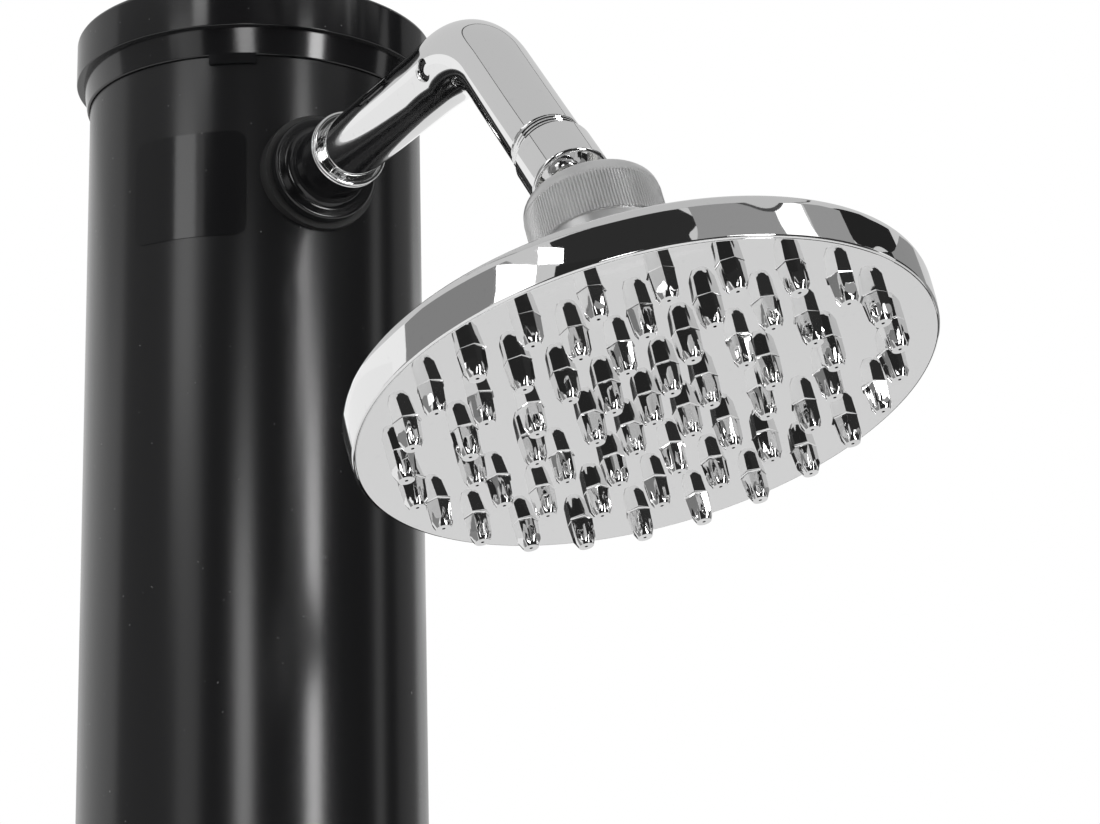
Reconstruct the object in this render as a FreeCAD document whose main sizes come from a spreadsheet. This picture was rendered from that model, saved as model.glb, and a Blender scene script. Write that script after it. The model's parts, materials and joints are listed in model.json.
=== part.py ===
import FreeCAD, Part
import math
import os
import Sketcher

# Outdoor shower post: a black water-filled column on a foot plate, a chrome arm with a round
# rain head on a ball joint, a single-lever mixer at hand height and a foot tap near the ground.
# Millimetres, +Z up, the origin on the column's axis at the underside of the foot plate.
# The arm, the mixer and the foot tap point along +X; the garden hose joins at the back, -X.

SIZES = {
    # column
    "column_radius": 58.0, "column_wall": 3.0, "column_foot": 10.0,
    "joint_height": 1160.0, "joint_flange": 6.0, "joint_reach": 45.0, "tube_top": 2124.0,
    # foot plate
    "plate_side": 200.0, "plate_thick": 10.0, "plate_corner": 22.0, "socket_radius": 66.0,
    "socket_height": 62.0, "anchor_pitch": 160.0, "anchor_radius": 4.5, "rib_thick": 7.0,
    # seals
    "ring_cord": 1.7, "seat_gap": 0.1,
    # cap
    "cap_foot": 2120.1, "skirt_radius": 59.0, "skirt_flare": 1.4, "skirt_height": 9.1,
    "cap_radius": 62.8, "cap_rim": 15.8, "cap_rise": 6.0, "tab_drop": 3.0,
    # label, about the arm's height
    "label_width": 39.7, "label_low": 22.7, "label_high": 13.3, "label_corner": 4.0,
    # fittings through the column's wall: heights, and sizes from the column's axis outwards
    "arm_height": 2080.0, "mixer_height": 1060.0, "tap_height": 330.0, "inlet_height": 150.0,
    "drain_height": 92.0, "drain_radius": 6.2, "drain_flange": 10.5,
    "hole_radius": 10.8, "stem_radius": 10.45, "stem_end": 20.0,
    "gasket_radius": 19.6, "gasket_face": 60.0, "washer_face": 46.5, "nut_radius": 15.0,
    "nut_thick": 6.5, "flange_radius": 17.6, "flange_face": 64.5,
    # arm
    "boss_radius": 12.35, "boss_end": 81.8, "ring_radius": 12.7, "ring_end": 84.6,
    "arm_start": 70.0, "arm_radius": 10.35, "arm_bore": 6.5, "elbow_start": 143.0,
    "elbow_radius": 11.1, "spigot_radius": 9.4, "spigot_end": 166.0, "corner_reach": 179.12,
    "bend_radius": 42.0, "neck_radius": 10.4, "neck_end": 62.0, "thread_end": 75.5,
    "screw_place": 162.0, "screw_hole": 3.3, "screw_floor": 7.5, "screw_top": 9.6,
    # ball joint, along the neck from its corner
    "nut_start": 67.6, "nut_end": 83.1, "swivel_radius": 11.3, "ball_reach": 99.93,
    "ball_radius": 11.0, "ball_stem": 4.6, "ball_bore": 3.0,
    # head, along its axis from the nozzle tips
    "ball_height": 64.2, "cup_gap": 0.08, "cup_thick": 1.52, "collar_foot": 50.0,
    "skirt_of_collar": 17.9, "knurl_foot": 55.5, "knurl_top": 67.3, "collar_radius": 18.6,
    "collar_top": 72.0, "collar_mouth": 10.6, "thread_radius": 15.5, "thread_gap": 0.06,
    "thread_top": 62.0, "seam_radius": 75.2, "seam_height": 6.85, "plate_centre": 9.1,
    "rim_radius": 76.5, "rim_height": 16.6, "wall_inside": 73.6, "neck_root": 17.6,
    "neck_root_height": 44.0, "waterway": 6.5, "seal_floor": 53.6, "seal_radius": 9.4,
    "nozzle_corner": 2.9, "nozzle_length": 8.2, "nozzle_bore": 0.5, "ring_one": 15.15, "ring_two": 31.26,
    "ring_three": 47.46, "ring_four": 63.7,
    # pipes in the column
    "pipe_radius": 7.0, "pipe_bore": 5.0, "barb_radius": 4.9, "barb_reach": 33.0,
    "riser_place": 28.0, "hot_place": 11.0, "hot_top": 2030.0, "clip_radius": 8.3,
    # mixer
    "mixer_stem": 15.0, "mixer_flange": 25.0, "mixer_face": 66.0, "mixer_radius": 21.0,
    "mixer_end": 96.0, "cartridge_radius": 17.4, "cartridge_start": 74.0, "pivot_place": 104.0,
    "spindle_radius": 5.0, "cover_outside": 21.0, "cover_inside": 18.6, "skirt_inside": 21.4,
    "skirt_outside": 24.0, "pin_radius": 1.6, "lever_width": 17.0, "index_radius": 5.0,
    # hose inlet and foot tap
    "nose_radius": 8.6, "tap_radius": 11.0, "tap_end": 92.0, "tap_spindle": 4.0, "spout_place": 73.0,
}

NECK_DROP = 48.0                                # degrees the neck points below level
SCREW_DROP = 20.0                               # degrees the arm's locking screw points below level
HEAD_AXIS = (-0.29278, -0.07881, 0.95293)       # from the face back to the ball
HEAD_SIDE = (0.60753, 0.75426, 0.24904)         # from the face's centre to one nozzle of each ring
SCREW_AZIMUTHS = (45, 165, 285)
FOOT_SCREW_HEIGHT = 40
FOOT_SCREW = (3.0, 5.2, 13.8, 3.4)              # shank radius, head radius, length, head height
JOINT_SCREW = (2.5, 4.4, 7.6, 2.4)
CAP_SCREW = (2.8, 6.0, 20.0, 2.4)
JOINT_SCREW_RISE = 25
JOINT_AZIMUTHS = (90, 210, 330)
TAB_AZIMUTH = -28.7
LABEL_AZIMUTH = -44.0

doc = FreeCAD.newDocument("shower_post")
sheet = doc.addObject("Spreadsheet::Sheet", "Sizes")
for row, (alias, number) in enumerate(SIZES.items(), start=1):
    sheet.set(f"A{row}", alias)
    sheet.set(f"B{row}", str(number))
    sheet.setAlias(f"B{row}", alias)
doc.recompute()


class Size:
    """A length that carries its number and the sheet expression that it comes from."""

    def __init__(self, number, text):
        self.number = float(number)
        self.text = text

    def __add__(self, other):
        other = as_size(other)
        return Size(self.number + other.number, f"({self.text} + {other.text})")

    def __sub__(self, other):
        other = as_size(other)
        return Size(self.number - other.number, f"({self.text} - {other.text})")

    def __mul__(self, factor):
        return Size(self.number * factor, f"({self.text} * {factor})")

    def __neg__(self):
        return Size(-self.number, f"(0 - {self.text})")

    __radd__ = __add__
    __rmul__ = __mul__

    def __rsub__(self, other):
        return as_size(other) - self


def as_size(value):
    return value if isinstance(value, Size) else Size(value, repr(float(value)))


class Sheet:
    """Gives each cell of the sheet as a Size: s.column_radius."""

    def __getattr__(self, alias):
        return Size(SIZES[alias], f"Sizes.{alias}")


s = Sheet()
NODES = {}


# ---------------------------------------------------------------- building blocks

def keep(name, piece):
    """Name a finished piece; its label names its file."""
    piece.Label = name
    NODES[name] = piece
    return piece


def new_body(label):
    body = doc.addObject("PartDesign::Body", "Body")
    body.Label = label + "_body"
    return body


def new_sketch(body, role):
    sketch = body.newObject("Sketcher::SketchObject", "Sketch")
    plane = [f for f in body.Origin.OriginFeatures if f.Role == role][0]
    sketch.AttachmentSupport = [(plane, "")]
    sketch.MapMode = "FlatFace"
    return sketch


def pin_point(sketch, geometry, vertex, x, y):
    """Fix a vertex at (x, y) by two dimensions bound to the sheet."""
    for kind, value in (("DistanceX", x), ("DistanceY", y)):
        value = as_size(value)
        number = sketch.addConstraint(Sketcher.Constraint(kind, -1, 1, geometry, vertex, value.number))
        sketch.setExpression(f"Constraints[{number}]", value.text)


def outline(sketch, points):
    """A closed outline of straight sides; a point (x, y, bulge) starts an arc of that sagitta."""
    vectors = [FreeCAD.Vector(as_size(p[0]).number, as_size(p[1]).number, 0) for p in points]
    for i, point in enumerate(points):
        start, end = vectors[i], vectors[(i + 1) % len(points)]
        if len(point) == 3:
            chord = end - start
            side = FreeCAD.Vector(-chord.y, chord.x, 0).normalize()
            middle = (start + end) * 0.5 + side * as_size(point[2]).number
            sketch.addGeometry(Part.Arc(start, middle, end), False)
        else:
            sketch.addGeometry(Part.LineSegment(start, end), False)
    ends = []
    for i, point in enumerate(points):
        first, last = 1, 2
        if len(point) == 3 and as_size(point[2]).number > 0:
            first, last = 2, 1
        ends.append((first, last))
    for i, point in enumerate(points):
        after = (i + 1) % len(points)
        sketch.addConstraint(Sketcher.Constraint("Coincident", i, ends[i][1], after, ends[after][0]))
        pin_point(sketch, i, ends[i][0], point[0], point[1])
        if len(point) == 3:
            chord = (vectors[after] - vectors[i]).Length
            sagitta = abs(as_size(point[2]).number)
            radius = (chord * chord / 4 + sagitta * sagitta) / (2 * sagitta)
            sketch.addConstraint(Sketcher.Constraint("Radius", i, radius))


def circle(sketch, x, y, radius):
    radius = as_size(radius)
    centre = FreeCAD.Vector(as_size(x).number, as_size(y).number, 0)
    index = sketch.addGeometry(Part.Circle(centre, FreeCAD.Vector(0, 0, 1), radius.number), False)
    number = sketch.addConstraint(Sketcher.Constraint("Radius", index, radius.number))
    sketch.setExpression(f"Constraints[{number}]", radius.text)
    pin_point(sketch, index, 3, x, y)


def revolve(body, sketch):
    feature = body.newObject("PartDesign::Revolution", "Revolution")
    feature.Profile = sketch
    feature.ReferenceAxis = (sketch, ["V_Axis"])
    feature.Angle = 360
    return feature


def turned(label, points):
    """A turned piece: its half section in (radius, height) spun about the height axis."""
    body = new_body(label)
    sketch = new_sketch(body, "XZ_Plane")
    outline(sketch, points)
    revolve(body, sketch)
    doc.recompute()
    return body


def tube(label, outer, inner, low, high):
    return turned(label, [(inner, low), (outer, low), (outer, high), (inner, high)])


def pad(body, sketch, length, reverse=False):
    feature = body.newObject("PartDesign::Pad", "Pad")
    feature.Profile = sketch
    length = as_size(length)
    feature.Length = length.number
    feature.setExpression("Length", length.text)
    feature.Reversed = reverse
    doc.recompute()
    return feature


def pocket(body, sketch, length, reverse=False):
    feature = body.newObject("PartDesign::Pocket", "Pocket")
    feature.Profile = sketch
    length = as_size(length)
    feature.Length = length.number
    feature.setExpression("Length", length.text)
    feature.Reversed = reverse
    doc.recompute()
    return feature


def around(body, feature, count):
    """Repeat a feature around the body's own Z axis."""
    pattern = body.newObject("PartDesign::PolarPattern", "PolarPattern")
    pattern.Originals = [feature]
    axis = [f for f in body.Origin.OriginFeatures if f.Role == "Z_Axis"][0]
    pattern.Axis = (axis, [""])
    pattern.Angle = 360
    pattern.Occurrences = count
    body.Tip = pattern
    doc.recompute()
    return pattern


def soften(body, radius, test):
    """Round every edge that passes the test."""
    base = body.Tip
    edges = [f"Edge{i}" for i, edge in enumerate(base.Shape.Edges, start=1) if test(edge)]
    fillet = body.newObject("PartDesign::Fillet", "Fillet")
    fillet.Base = (base, edges)
    fillet.Radius = radius
    doc.recompute()
    return fillet


def ring_at(radius, height):
    """A test for the round edge of a turned piece at one radius and height."""
    width, height = as_size(radius).number * 2, as_size(height).number

    def test(edge):
        span = edge.BoundBox
        flat = span.ZLength < 0.01 and abs(span.ZMin - height) < 0.05
        return flat and abs(span.XLength - width) < 0.05 and abs(span.YLength - width) < 0.05
    return test


def cylinder(label, radius, length):
    piece = doc.addObject("Part::Cylinder", "Cylinder")
    piece.Label = label
    for name, value in (("Radius", radius), ("Height", length)):
        value = as_size(value)
        setattr(piece, name, value.number)
        piece.setExpression(name, value.text)
    return piece


def box(label, length, width, height):
    piece = doc.addObject("Part::Box", "Box")
    piece.Label = label
    for name, value in (("Length", length), ("Width", width), ("Height", height)):
        value = as_size(value)
        setattr(piece, name, value.number)
        piece.setExpression(name, value.text)
    return piece


def sphere(label, radius, height):
    """A ball on the Z axis, its centre at a height."""
    piece = doc.addObject("Part::Sphere", "Sphere")
    piece.Label = label
    radius = as_size(radius)
    piece.Radius = radius.number
    piece.setExpression("Radius", radius.text)
    return place(piece, 0, 0, height)


def place(piece, x=0, y=0, z=0, turn=None):
    """Put a piece at (x, y, z), each bound to the sheet, turned by a rotation."""
    spot = [as_size(v) for v in (x, y, z)]
    piece.Placement = FreeCAD.Placement(
        FreeCAD.Vector(*[v.number for v in spot]), turn or FreeCAD.Rotation())
    for name, value in zip("xyz", spot):
        piece.setExpression(f"Placement.Base.{name}", value.text)
    return piece


def spin(degrees):
    return FreeCAD.Rotation(FreeCAD.Vector(0, 0, 1), degrees)


def lean(degrees):
    return FreeCAD.Rotation(FreeCAD.Vector(0, 1, 0), degrees)


UP_TO_OUT = lean(90)                    # local Z becomes +X
UP_TO_BACK = lean(-90)                  # local Z becomes -X
UP_TO_NECK = lean(90 + NECK_DROP)       # local Z points along the neck
UP_TO_DOWN = lean(180)
NECK_OUT = math.cos(math.radians(NECK_DROP))
NECK_DOWN = math.sin(math.radians(NECK_DROP))
HEAD_OVER = FreeCAD.Vector(*HEAD_AXIS).cross(FreeCAD.Vector(*HEAD_SIDE))
HEAD_TURN = FreeCAD.Rotation(FreeCAD.Vector(*HEAD_SIDE), HEAD_OVER, FreeCAD.Vector(*HEAD_AXIS), "ZXY")


def outward(piece, height):
    """Lay a piece turned about Z along +X, its heights measured from the column's axis."""
    return place(piece, 0, 0, height, UP_TO_OUT)


def backward(piece, height):
    return place(piece, 0, 0, height, UP_TO_BACK)


def on_neck(piece):
    """Lay a piece along the neck, its heights measured from the neck's corner."""
    return place(piece, s.corner_reach, 0, s.arm_height, UP_TO_NECK)


def on_head(piece, lift=0):
    """Put a piece on the head's axis, its heights measured from a lift above the nozzle tips."""
    drop = s.ball_height - lift
    x = s.corner_reach + s.ball_reach * NECK_OUT - drop * HEAD_AXIS[0]
    y = drop * -HEAD_AXIS[1]
    z = s.arm_height - s.ball_reach * NECK_DOWN - drop * HEAD_AXIS[2]
    return place(piece, x, y, z, HEAD_TURN)


def cut(label, base, *tools):
    feature = doc.addObject("Part::Cut", "Cut")
    feature.Base = base
    feature.Tool = tools[0] if len(tools) == 1 else fuse(label + "_tools", *tools)
    feature.Label = label
    doc.recompute()
    return feature


def fuse(label, *pieces):
    feature = doc.addObject("Part::MultiFuse", "Fusion")
    feature.Shapes = list(pieces)
    feature.Label = label
    doc.recompute()
    return feature


def common(label, base, tool):
    feature = doc.addObject("Part::Common", "Common")
    feature.Base = base
    feature.Tool = tool
    feature.Label = label
    doc.recompute()
    return feature


def group(name, pieces):
    """Separate like solids kept in one node."""
    feature = doc.addObject("Part::Compound", "Group")
    feature.Links = list(pieces)
    doc.recompute()
    return keep(name, feature)


def torus(label, middle, cord, height):
    """A round seal of a circular cord about the Z axis."""
    piece = doc.addObject("Part::Torus", "Torus")
    piece.Label = label
    for name, value in (("Radius1", middle), ("Radius2", cord)):
        value = as_size(value)
        setattr(piece, name, value.number)
        piece.setExpression(name, value.text)
    return place(piece, 0, 0, height)


# ---------------------------------------------------------------- column and foot

column_inner = s.column_radius - s.column_wall
plug_radius = column_inner - s.seat_gap
groove_width = s.ring_cord * 2 + 0.4
groove_floor = column_inner - s.ring_cord * 2
seal_middle = column_inner - s.ring_cord


def column_rod(radius, low, high):
    """A cylinder on the column's axis, used to shape what fits against the column."""
    return place(cylinder("column_rod", radius, high - low), 0, 0, low)


def radial(piece, height, start, azimuth):
    """Point a piece's Z away from the column's axis, its origin a distance out from it."""
    angle = math.radians(azimuth)
    start = as_size(start)
    turn = spin(azimuth).multiply(UP_TO_OUT)
    return place(piece, start * math.cos(angle), start * math.sin(angle), height, turn)


def drill(radius, height, azimuth=0, start=40, length=40):
    """A cylinder across the column's wall."""
    return radial(cylinder("drill", radius, length), height, start, azimuth)


def pan_screw(shank, head, length, head_high):
    """A screw along local Z: the shank from 0 up to its length, then the recessed head."""
    shank, head, length = as_size(shank), as_size(head), as_size(length)
    top = length + head_high
    return turned("screw", [(0, 0), (shank, 0), (shank, length), (head, length),
                            (head, length + head_high * 0.5), (head * 0.75, top), (head * 0.35, top),
                            (head * 0.35, top - head_high * 0.6), (0, top - head_high * 0.6)])


def foot_plate():
    """The square foot with its collar and ribs, drilled for four anchors."""
    body = new_body("base_plate")
    half = s.plate_side * 0.5
    sketch = new_sketch(body, "XY_Plane")
    outline(sketch, [(-half, -half), (half, -half), (half, half), (-half, half)])
    pad(body, sketch, s.plate_thick)
    soften(body, SIZES["plate_corner"], lambda edge: upright_edge(edge, half.number))
    inner = s.column_radius + s.seat_gap
    root = s.socket_radius + 4
    socket = new_sketch(body, "XZ_Plane")
    outline(socket, [(inner, 0), (root, 0), (root, s.plate_thick + 4), (s.socket_radius, s.plate_thick + 12),
                     (s.socket_radius, s.socket_height), (inner, s.socket_height)])
    revolve(body, socket)
    rib_start, rib_end, rib_foot, rib_top = s.socket_radius - 2, half - 8, 5, s.socket_height - 8
    rib = new_sketch(body, "XZ_Plane")
    outline(rib, [(rib_start, rib_foot), (rib_end, rib_foot), (rib_end, s.plate_thick + 1),
                  (rib_start, rib_top)])
    web = body.newObject("PartDesign::Pad", "Pad")
    web.Profile = rib
    web.Midplane = True
    web.setExpression("Length", s.rib_thick.text)
    doc.recompute()
    around(body, web, 4)
    reach = s.anchor_pitch * 0.5
    corners = [(x, y) for x in (-1, 1) for y in (-1, 1)]
    tools = [place(cylinder("anchor", s.anchor_radius, s.plate_thick + 2), reach * x, reach * y, -1)
             for x, y in corners]
    tools += [place(cylinder("seat", s.anchor_radius * 2, 4), reach * x, reach * y, s.plate_thick - 2)
              for x, y in corners]
    tools.append(column_rod(inner, s.plate_thick, s.socket_height + 1))
    tools += foot_drills(0.2)
    keep("base_plate", cut("base_plate", body, *tools))


def foot_drills(gap):
    """The three holes for the screws that hold foot, tube and plug together."""
    return [drill(FOOT_SCREW[0] + gap, FOOT_SCREW_HEIGHT, azimuth, 50, 30) for azimuth in SCREW_AZIMUTHS]


def joint_drills(height):
    """Three holes of the joint's locking screws at a height."""
    return [drill(JOINT_SCREW[0] + 0.1, height, azimuth, 46, 34) for azimuth in JOINT_AZIMUTHS]


def upright_edge(edge, half):
    middle = edge.CenterOfMass
    return edge.BoundBox.ZLength > 1 and abs(abs(middle.x) - half) < 0.01 and abs(abs(middle.y) - half) < 0.01


def column_foot():
    """The sealed plug in the bottom of the column, and the screws that hold plug and tube."""
    foot_plate()
    reach = s.socket_radius - FOOT_SCREW[2]
    group("base_screws", [radial(pan_screw(*FOOT_SCREW), FOOT_SCREW_HEIGHT, reach, azimuth)
                          for azimuth in SCREW_AZIMUTHS])
    foot, top, seal_low = s.plate_thick + 2, s.socket_height + 6, s.socket_height - 6
    wall, floor = plug_radius - 9, top - 5
    plug = turned("bottom_plug", [
        (0, floor), (wall, floor), (wall, foot), (plug_radius, foot), (plug_radius, seal_low),
        (groove_floor, seal_low), (groove_floor, seal_low + groove_width),
        (plug_radius, seal_low + groove_width), (plug_radius, top), (0, top)])
    keep("bottom_plug", cut("bottom_plug", plug, *foot_drills(0.1)))
    keep("bottom_seal", torus("bottom_seal", seal_middle, s.ring_cord, seal_low + groove_width * 0.5))


def column_tubes():
    """The two lengths of tube with their drillings."""
    lower = tube("lower_tube", s.column_radius, column_inner, s.column_foot,
                 s.joint_height - s.joint_flange * 0.5)
    drills = foot_drills(0.1) + joint_drills(s.joint_height - JOINT_SCREW_RISE)
    drills += [drill(s.mixer_stem + 0.3, s.mixer_height), drill(s.hole_radius, s.tap_height),
               drill(s.hole_radius, s.inlet_height, 180), drill(s.drain_radius + 0.2, s.drain_height, 180)]
    keep("lower_tube", cut("lower_tube", lower, *drills))
    upper = tube("upper_tube", s.column_radius, column_inner,
                 s.joint_height + s.joint_flange * 0.5, s.tube_top)
    drills = [drill(s.hole_radius, s.arm_height)] + joint_drills(s.joint_height + JOINT_SCREW_RISE)
    keep("upper_tube", cut("upper_tube", upper, *drills))


def column_joint():
    """The sleeve that joins the two tubes, with a seal in each half and six locking screws."""
    low, high = s.joint_height - s.joint_reach, s.joint_height + s.joint_reach
    flange_low, flange_high = s.joint_height - s.joint_flange * 0.5, s.joint_height + s.joint_flange * 0.5
    first, second = s.joint_height - 14, s.joint_height + 14 - groove_width
    sleeve = turned("joint_sleeve", [
        (plug_radius - 5, low), (plug_radius, low), (plug_radius, first - groove_width),
        (groove_floor, first - groove_width), (groove_floor, first), (plug_radius, first),
        (plug_radius, flange_low), (s.column_radius + 1.2, flange_low),
        (s.column_radius + 1.2, flange_high), (plug_radius, flange_high), (plug_radius, second),
        (groove_floor, second), (groove_floor, second + groove_width),
        (plug_radius, second + groove_width), (plug_radius, high), (plug_radius - 5, high)])
    heights = (s.joint_height - JOINT_SCREW_RISE, s.joint_height + JOINT_SCREW_RISE)
    spots = [(azimuth, height) for azimuth in JOINT_AZIMUTHS for height in heights]
    drills = [drilled for height in heights for drilled in joint_drills(height)]
    keep("joint_sleeve", cut("joint_sleeve", sleeve, *drills))
    group("joint_seals", [torus("joint_seal", seal_middle, s.ring_cord, first - groove_width * 0.5),
                          torus("joint_seal", seal_middle, s.ring_cord, second + groove_width * 0.5)])
    group("joint_screws", [radial(pan_screw(*JOINT_SCREW), height, s.column_radius - 7.5, azimuth)
                           for azimuth, height in spots])


def column_top():
    """The sealed plug in the top of the column, and the cap screwed down on it."""
    low, seal_low = s.tube_top - 22, s.tube_top - 12
    plug = turned("top_plug", [
        (0, low), (plug_radius, low), (plug_radius, seal_low), (groove_floor, seal_low),
        (groove_floor, seal_low + groove_width), (plug_radius, seal_low + groove_width),
        (plug_radius, s.tube_top), (s.column_radius, s.tube_top), (s.column_radius, s.tube_top + 2.5),
        (12, s.tube_top + 2.5), (12, s.tube_top + 12), (0, s.tube_top + 12)])
    recess = column_rod(plug_radius - 8, low - 1, s.tube_top - 6)
    pilot = place(cylinder("pilot", 2.9, 20), 0, 0, s.tube_top - 2)
    keep("top_plug", cut("top_plug", plug, recess, pilot))
    keep("top_seal", torus("top_seal", seal_middle, s.ring_cord, seal_low + groove_width * 0.5))

    ledge = s.cap_foot + s.skirt_height
    rim = ledge + s.cap_rim
    inner = s.column_radius + 0.15
    cap = turned("top_cap", [
        (inner, s.cap_foot), (s.skirt_radius, s.cap_foot), (s.skirt_radius + s.skirt_flare, ledge),
        (s.cap_radius, ledge), (s.cap_radius, rim, -1.5), (0, rim + s.cap_rise),
        (0, rim + 2), (inner, rim - 2.5)])
    soften(cap, 1.4, ring_at(s.cap_radius, rim))
    ring = tube("cap_tab", s.skirt_radius, inner, s.cap_foot - s.tab_drop, s.cap_foot + 2)
    window = box("tab_window", 70, 15.8, 12)
    turn = math.radians(TAB_AZIMUTH)
    place(window, 7.9 * math.sin(turn), -7.9 * math.cos(turn), s.cap_foot - 6, spin(TAB_AZIMUTH))
    whole = fuse("cap_whole", cap, common("cap_tab", ring, window))
    hole = place(cylinder("cap_hole", 3.2, 30), 0, 0, rim - 10)
    seat = place(cylinder("cap_seat", 6.5, 10), 0, 0, rim + s.cap_rise - 2.5)
    keep("top_cap", cut("top_cap", whole, hole, seat))
    screw_foot = rim + s.cap_rise - 2.5 - CAP_SCREW[2]
    keep("cap_screw", place(pan_screw(*CAP_SCREW), 0, 0, screw_foot))


def label():
    """A thin wrapped label low on the column's top, left bare."""
    body = new_body("front_label")
    sketch = new_sketch(body, "YZ_Plane")
    half = s.label_width * 0.5
    outline(sketch, [(-half, -s.label_low), (half, -s.label_low), (half, s.label_high), (-half, s.label_high)])
    pad(body, sketch, 80)
    soften(body, SIZES["label_corner"], lambda edge: edge.BoundBox.XLength > 1 and edge.BoundBox.YLength < 0.1)
    place(body, 0, 0, s.arm_height, spin(LABEL_AZIMUTH))
    ring = tube("label_ring", s.column_radius + 0.25, s.column_radius, s.arm_height - 40, s.arm_height + 30)
    keep("front_label", common("front_label", ring, body))


# ---------------------------------------------------------------- fittings in the wall

def stem_seals(kinds, height, azimuth):
    """The saddle gasket outside the wall, the saddle washer inside it and the nut on the stem."""
    inner, high = s.stem_radius + 0.1, s.gasket_radius
    ring = radial(tube("saddle", high, inner, 50, s.gasket_face), height, 0, azimuth)
    gasket = cut("gasket", ring, column_rod(s.column_radius, height - 30, height + 30))
    ring = radial(tube("saddle", s.nut_radius, inner, s.washer_face, 60), height, 0, azimuth)
    washer = common("washer", ring, column_rod(column_inner, height - 30, height + 30))
    nut = hex_ring("nut", s.nut_radius, inner, s.nut_thick)
    radial(nut, height, s.washer_face - s.nut_thick, azimuth)
    for kind, piece in (("stem_gaskets", gasket), ("stem_washers", washer), ("stem_nuts", nut)):
        kinds.setdefault(kind, []).append(piece)


def hex_bar(label, corner, high):
    """A six-sided bar along local Z."""
    prism = doc.addObject("Part::Prism", "Prism")
    prism.Label = label
    prism.Polygon = 6
    for name, value in (("Circumradius", corner), ("Height", high)):
        value = as_size(value)
        setattr(prism, name, value.number)
        prism.setExpression(name, value.text)
    return prism


def hex_ring(label, corner, bore, high):
    """A six-sided nut along local Z."""
    hole = place(cylinder("nut_bore", bore, as_size(high) + 2), 0, 0, -1)
    return cut(label, hex_bar("nut_blank", corner, high), hole)


def fittings():
    """The pieces that repeat at the arm, the foot tap and the hose inlet."""
    kinds = {}
    for height, azimuth in ((s.arm_height, 0), (s.tap_height, 0), (s.inlet_height, 180)):
        stem_seals(kinds, height, azimuth)
    for kind, pieces in kinds.items():
        group(kind, pieces)


def barb(x, height, down=False):
    """A short spigot that a pipe slips over, standing on a fitting's axis, and its bore."""
    turn = UP_TO_DOWN if down else None
    spigot = place(cylinder("barb", s.barb_radius, s.barb_reach), x, 0, height, turn)
    bore = place(cylinder("barb_bore", 3.4, s.barb_reach + 1), x, 0, height, turn)
    return spigot, bore


def outlet():
    """The boss that carries the arm, and the ring that locks the arm in it."""
    blank = outward(turned("boss", [
        (0, s.stem_end), (s.stem_radius, s.stem_end), (s.stem_radius, s.gasket_face),
        (s.flange_radius, s.gasket_face), (s.flange_radius, s.flange_face - 1),
        (s.flange_radius - 1, s.flange_face), (s.boss_radius + 1.2, s.flange_face, 0.35),
        (s.boss_radius, s.flange_face + 1.2), (s.boss_radius, s.boss_end), (0, s.boss_end)]),
        s.arm_height)
    way = place(cylinder("way", s.arm_bore, 60), s.stem_end + 3, 0, s.arm_height, UP_TO_OUT)
    socket = place(cylinder("socket", s.arm_radius + s.seat_gap, 20),
                   s.arm_start, 0, s.arm_height, UP_TO_OUT)
    spigot, bore = barb(s.riser_place, s.arm_height, down=True)
    keep("outlet_boss", cut("outlet_boss", fuse("boss_whole", blank, spigot), way, socket, bore))
    inner, outer, mouth = s.arm_radius + s.seat_gap, s.ring_radius, s.arm_radius + 1.0
    low, high = s.boss_end, s.ring_end
    keep("arm_ring", outward(turned("arm_ring", [
        (inner, low), (outer, low), (outer, low + 0.8), (outer - 0.35, low + 1.1),
        (outer - 0.35, low + 1.4), (outer, low + 1.7), (outer, high - 0.5), (outer - 0.5, high),
        (mouth, high), (mouth, high - 1.6), (inner, high - 1.6)]), s.arm_height))


# ---------------------------------------------------------------- arm and neck

def bend_places():
    """Where the elbow's bend starts along the arm, and where it ends along the neck."""
    run = s.bend_radius * math.tan(math.radians(NECK_DROP / 2))
    return s.corner_reach - run, run


def bend_path():
    """The bend's centre line: an arc in the upright plane of the arm."""
    start, run = bend_places()
    path = doc.addObject("Sketcher::SketchObject", "Path")
    path.Placement = FreeCAD.Placement(FreeCAD.Vector(0, 0, 0),
                                       FreeCAD.Rotation(FreeCAD.Vector(1, 0, 0), 90))
    centre_height = s.arm_height - s.bend_radius
    centre = FreeCAD.Vector(start.number, centre_height.number, 0)
    round_line = Part.Circle(centre, FreeCAD.Vector(0, 0, 1), SIZES["bend_radius"])
    low = math.radians(90 - NECK_DROP)
    path.addGeometry(Part.ArcOfCircle(round_line, low, math.pi / 2), False)
    pin_point(path, 0, 3, start, centre_height)
    pin_point(path, 0, 2, start, s.arm_height)
    end_x = start + s.bend_radius * math.cos(low)
    number = path.addConstraint(Sketcher.Constraint("DistanceX", -1, 1, 0, 1, end_x.number))
    path.setExpression(f"Constraints[{number}]", end_x.text)
    doc.recompute()
    return path


def bend(label, path, first, last):
    """A round bar swept round the bend, its radius going from the first to the last."""
    start, run = bend_places()
    rings = []
    for radius in (first, last):
        ring = doc.addObject("Part::Circle", "Circle")
        ring.Radius = as_size(radius).number
        ring.setExpression("Radius", as_size(radius).text)
        rings.append(ring)
    place(rings[0], start, 0, s.arm_height, UP_TO_OUT)
    place(rings[1], s.corner_reach + run * NECK_OUT, 0, s.arm_height - run * NECK_DOWN, UP_TO_NECK)
    sweep = doc.addObject("Part::Sweep", "Sweep")
    sweep.Sections = rings
    sweep.Spine = (path, ["Edge1"])
    sweep.Solid = True
    sweep.Frenet = True
    sweep.Label = label
    doc.recompute()
    return sweep


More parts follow.
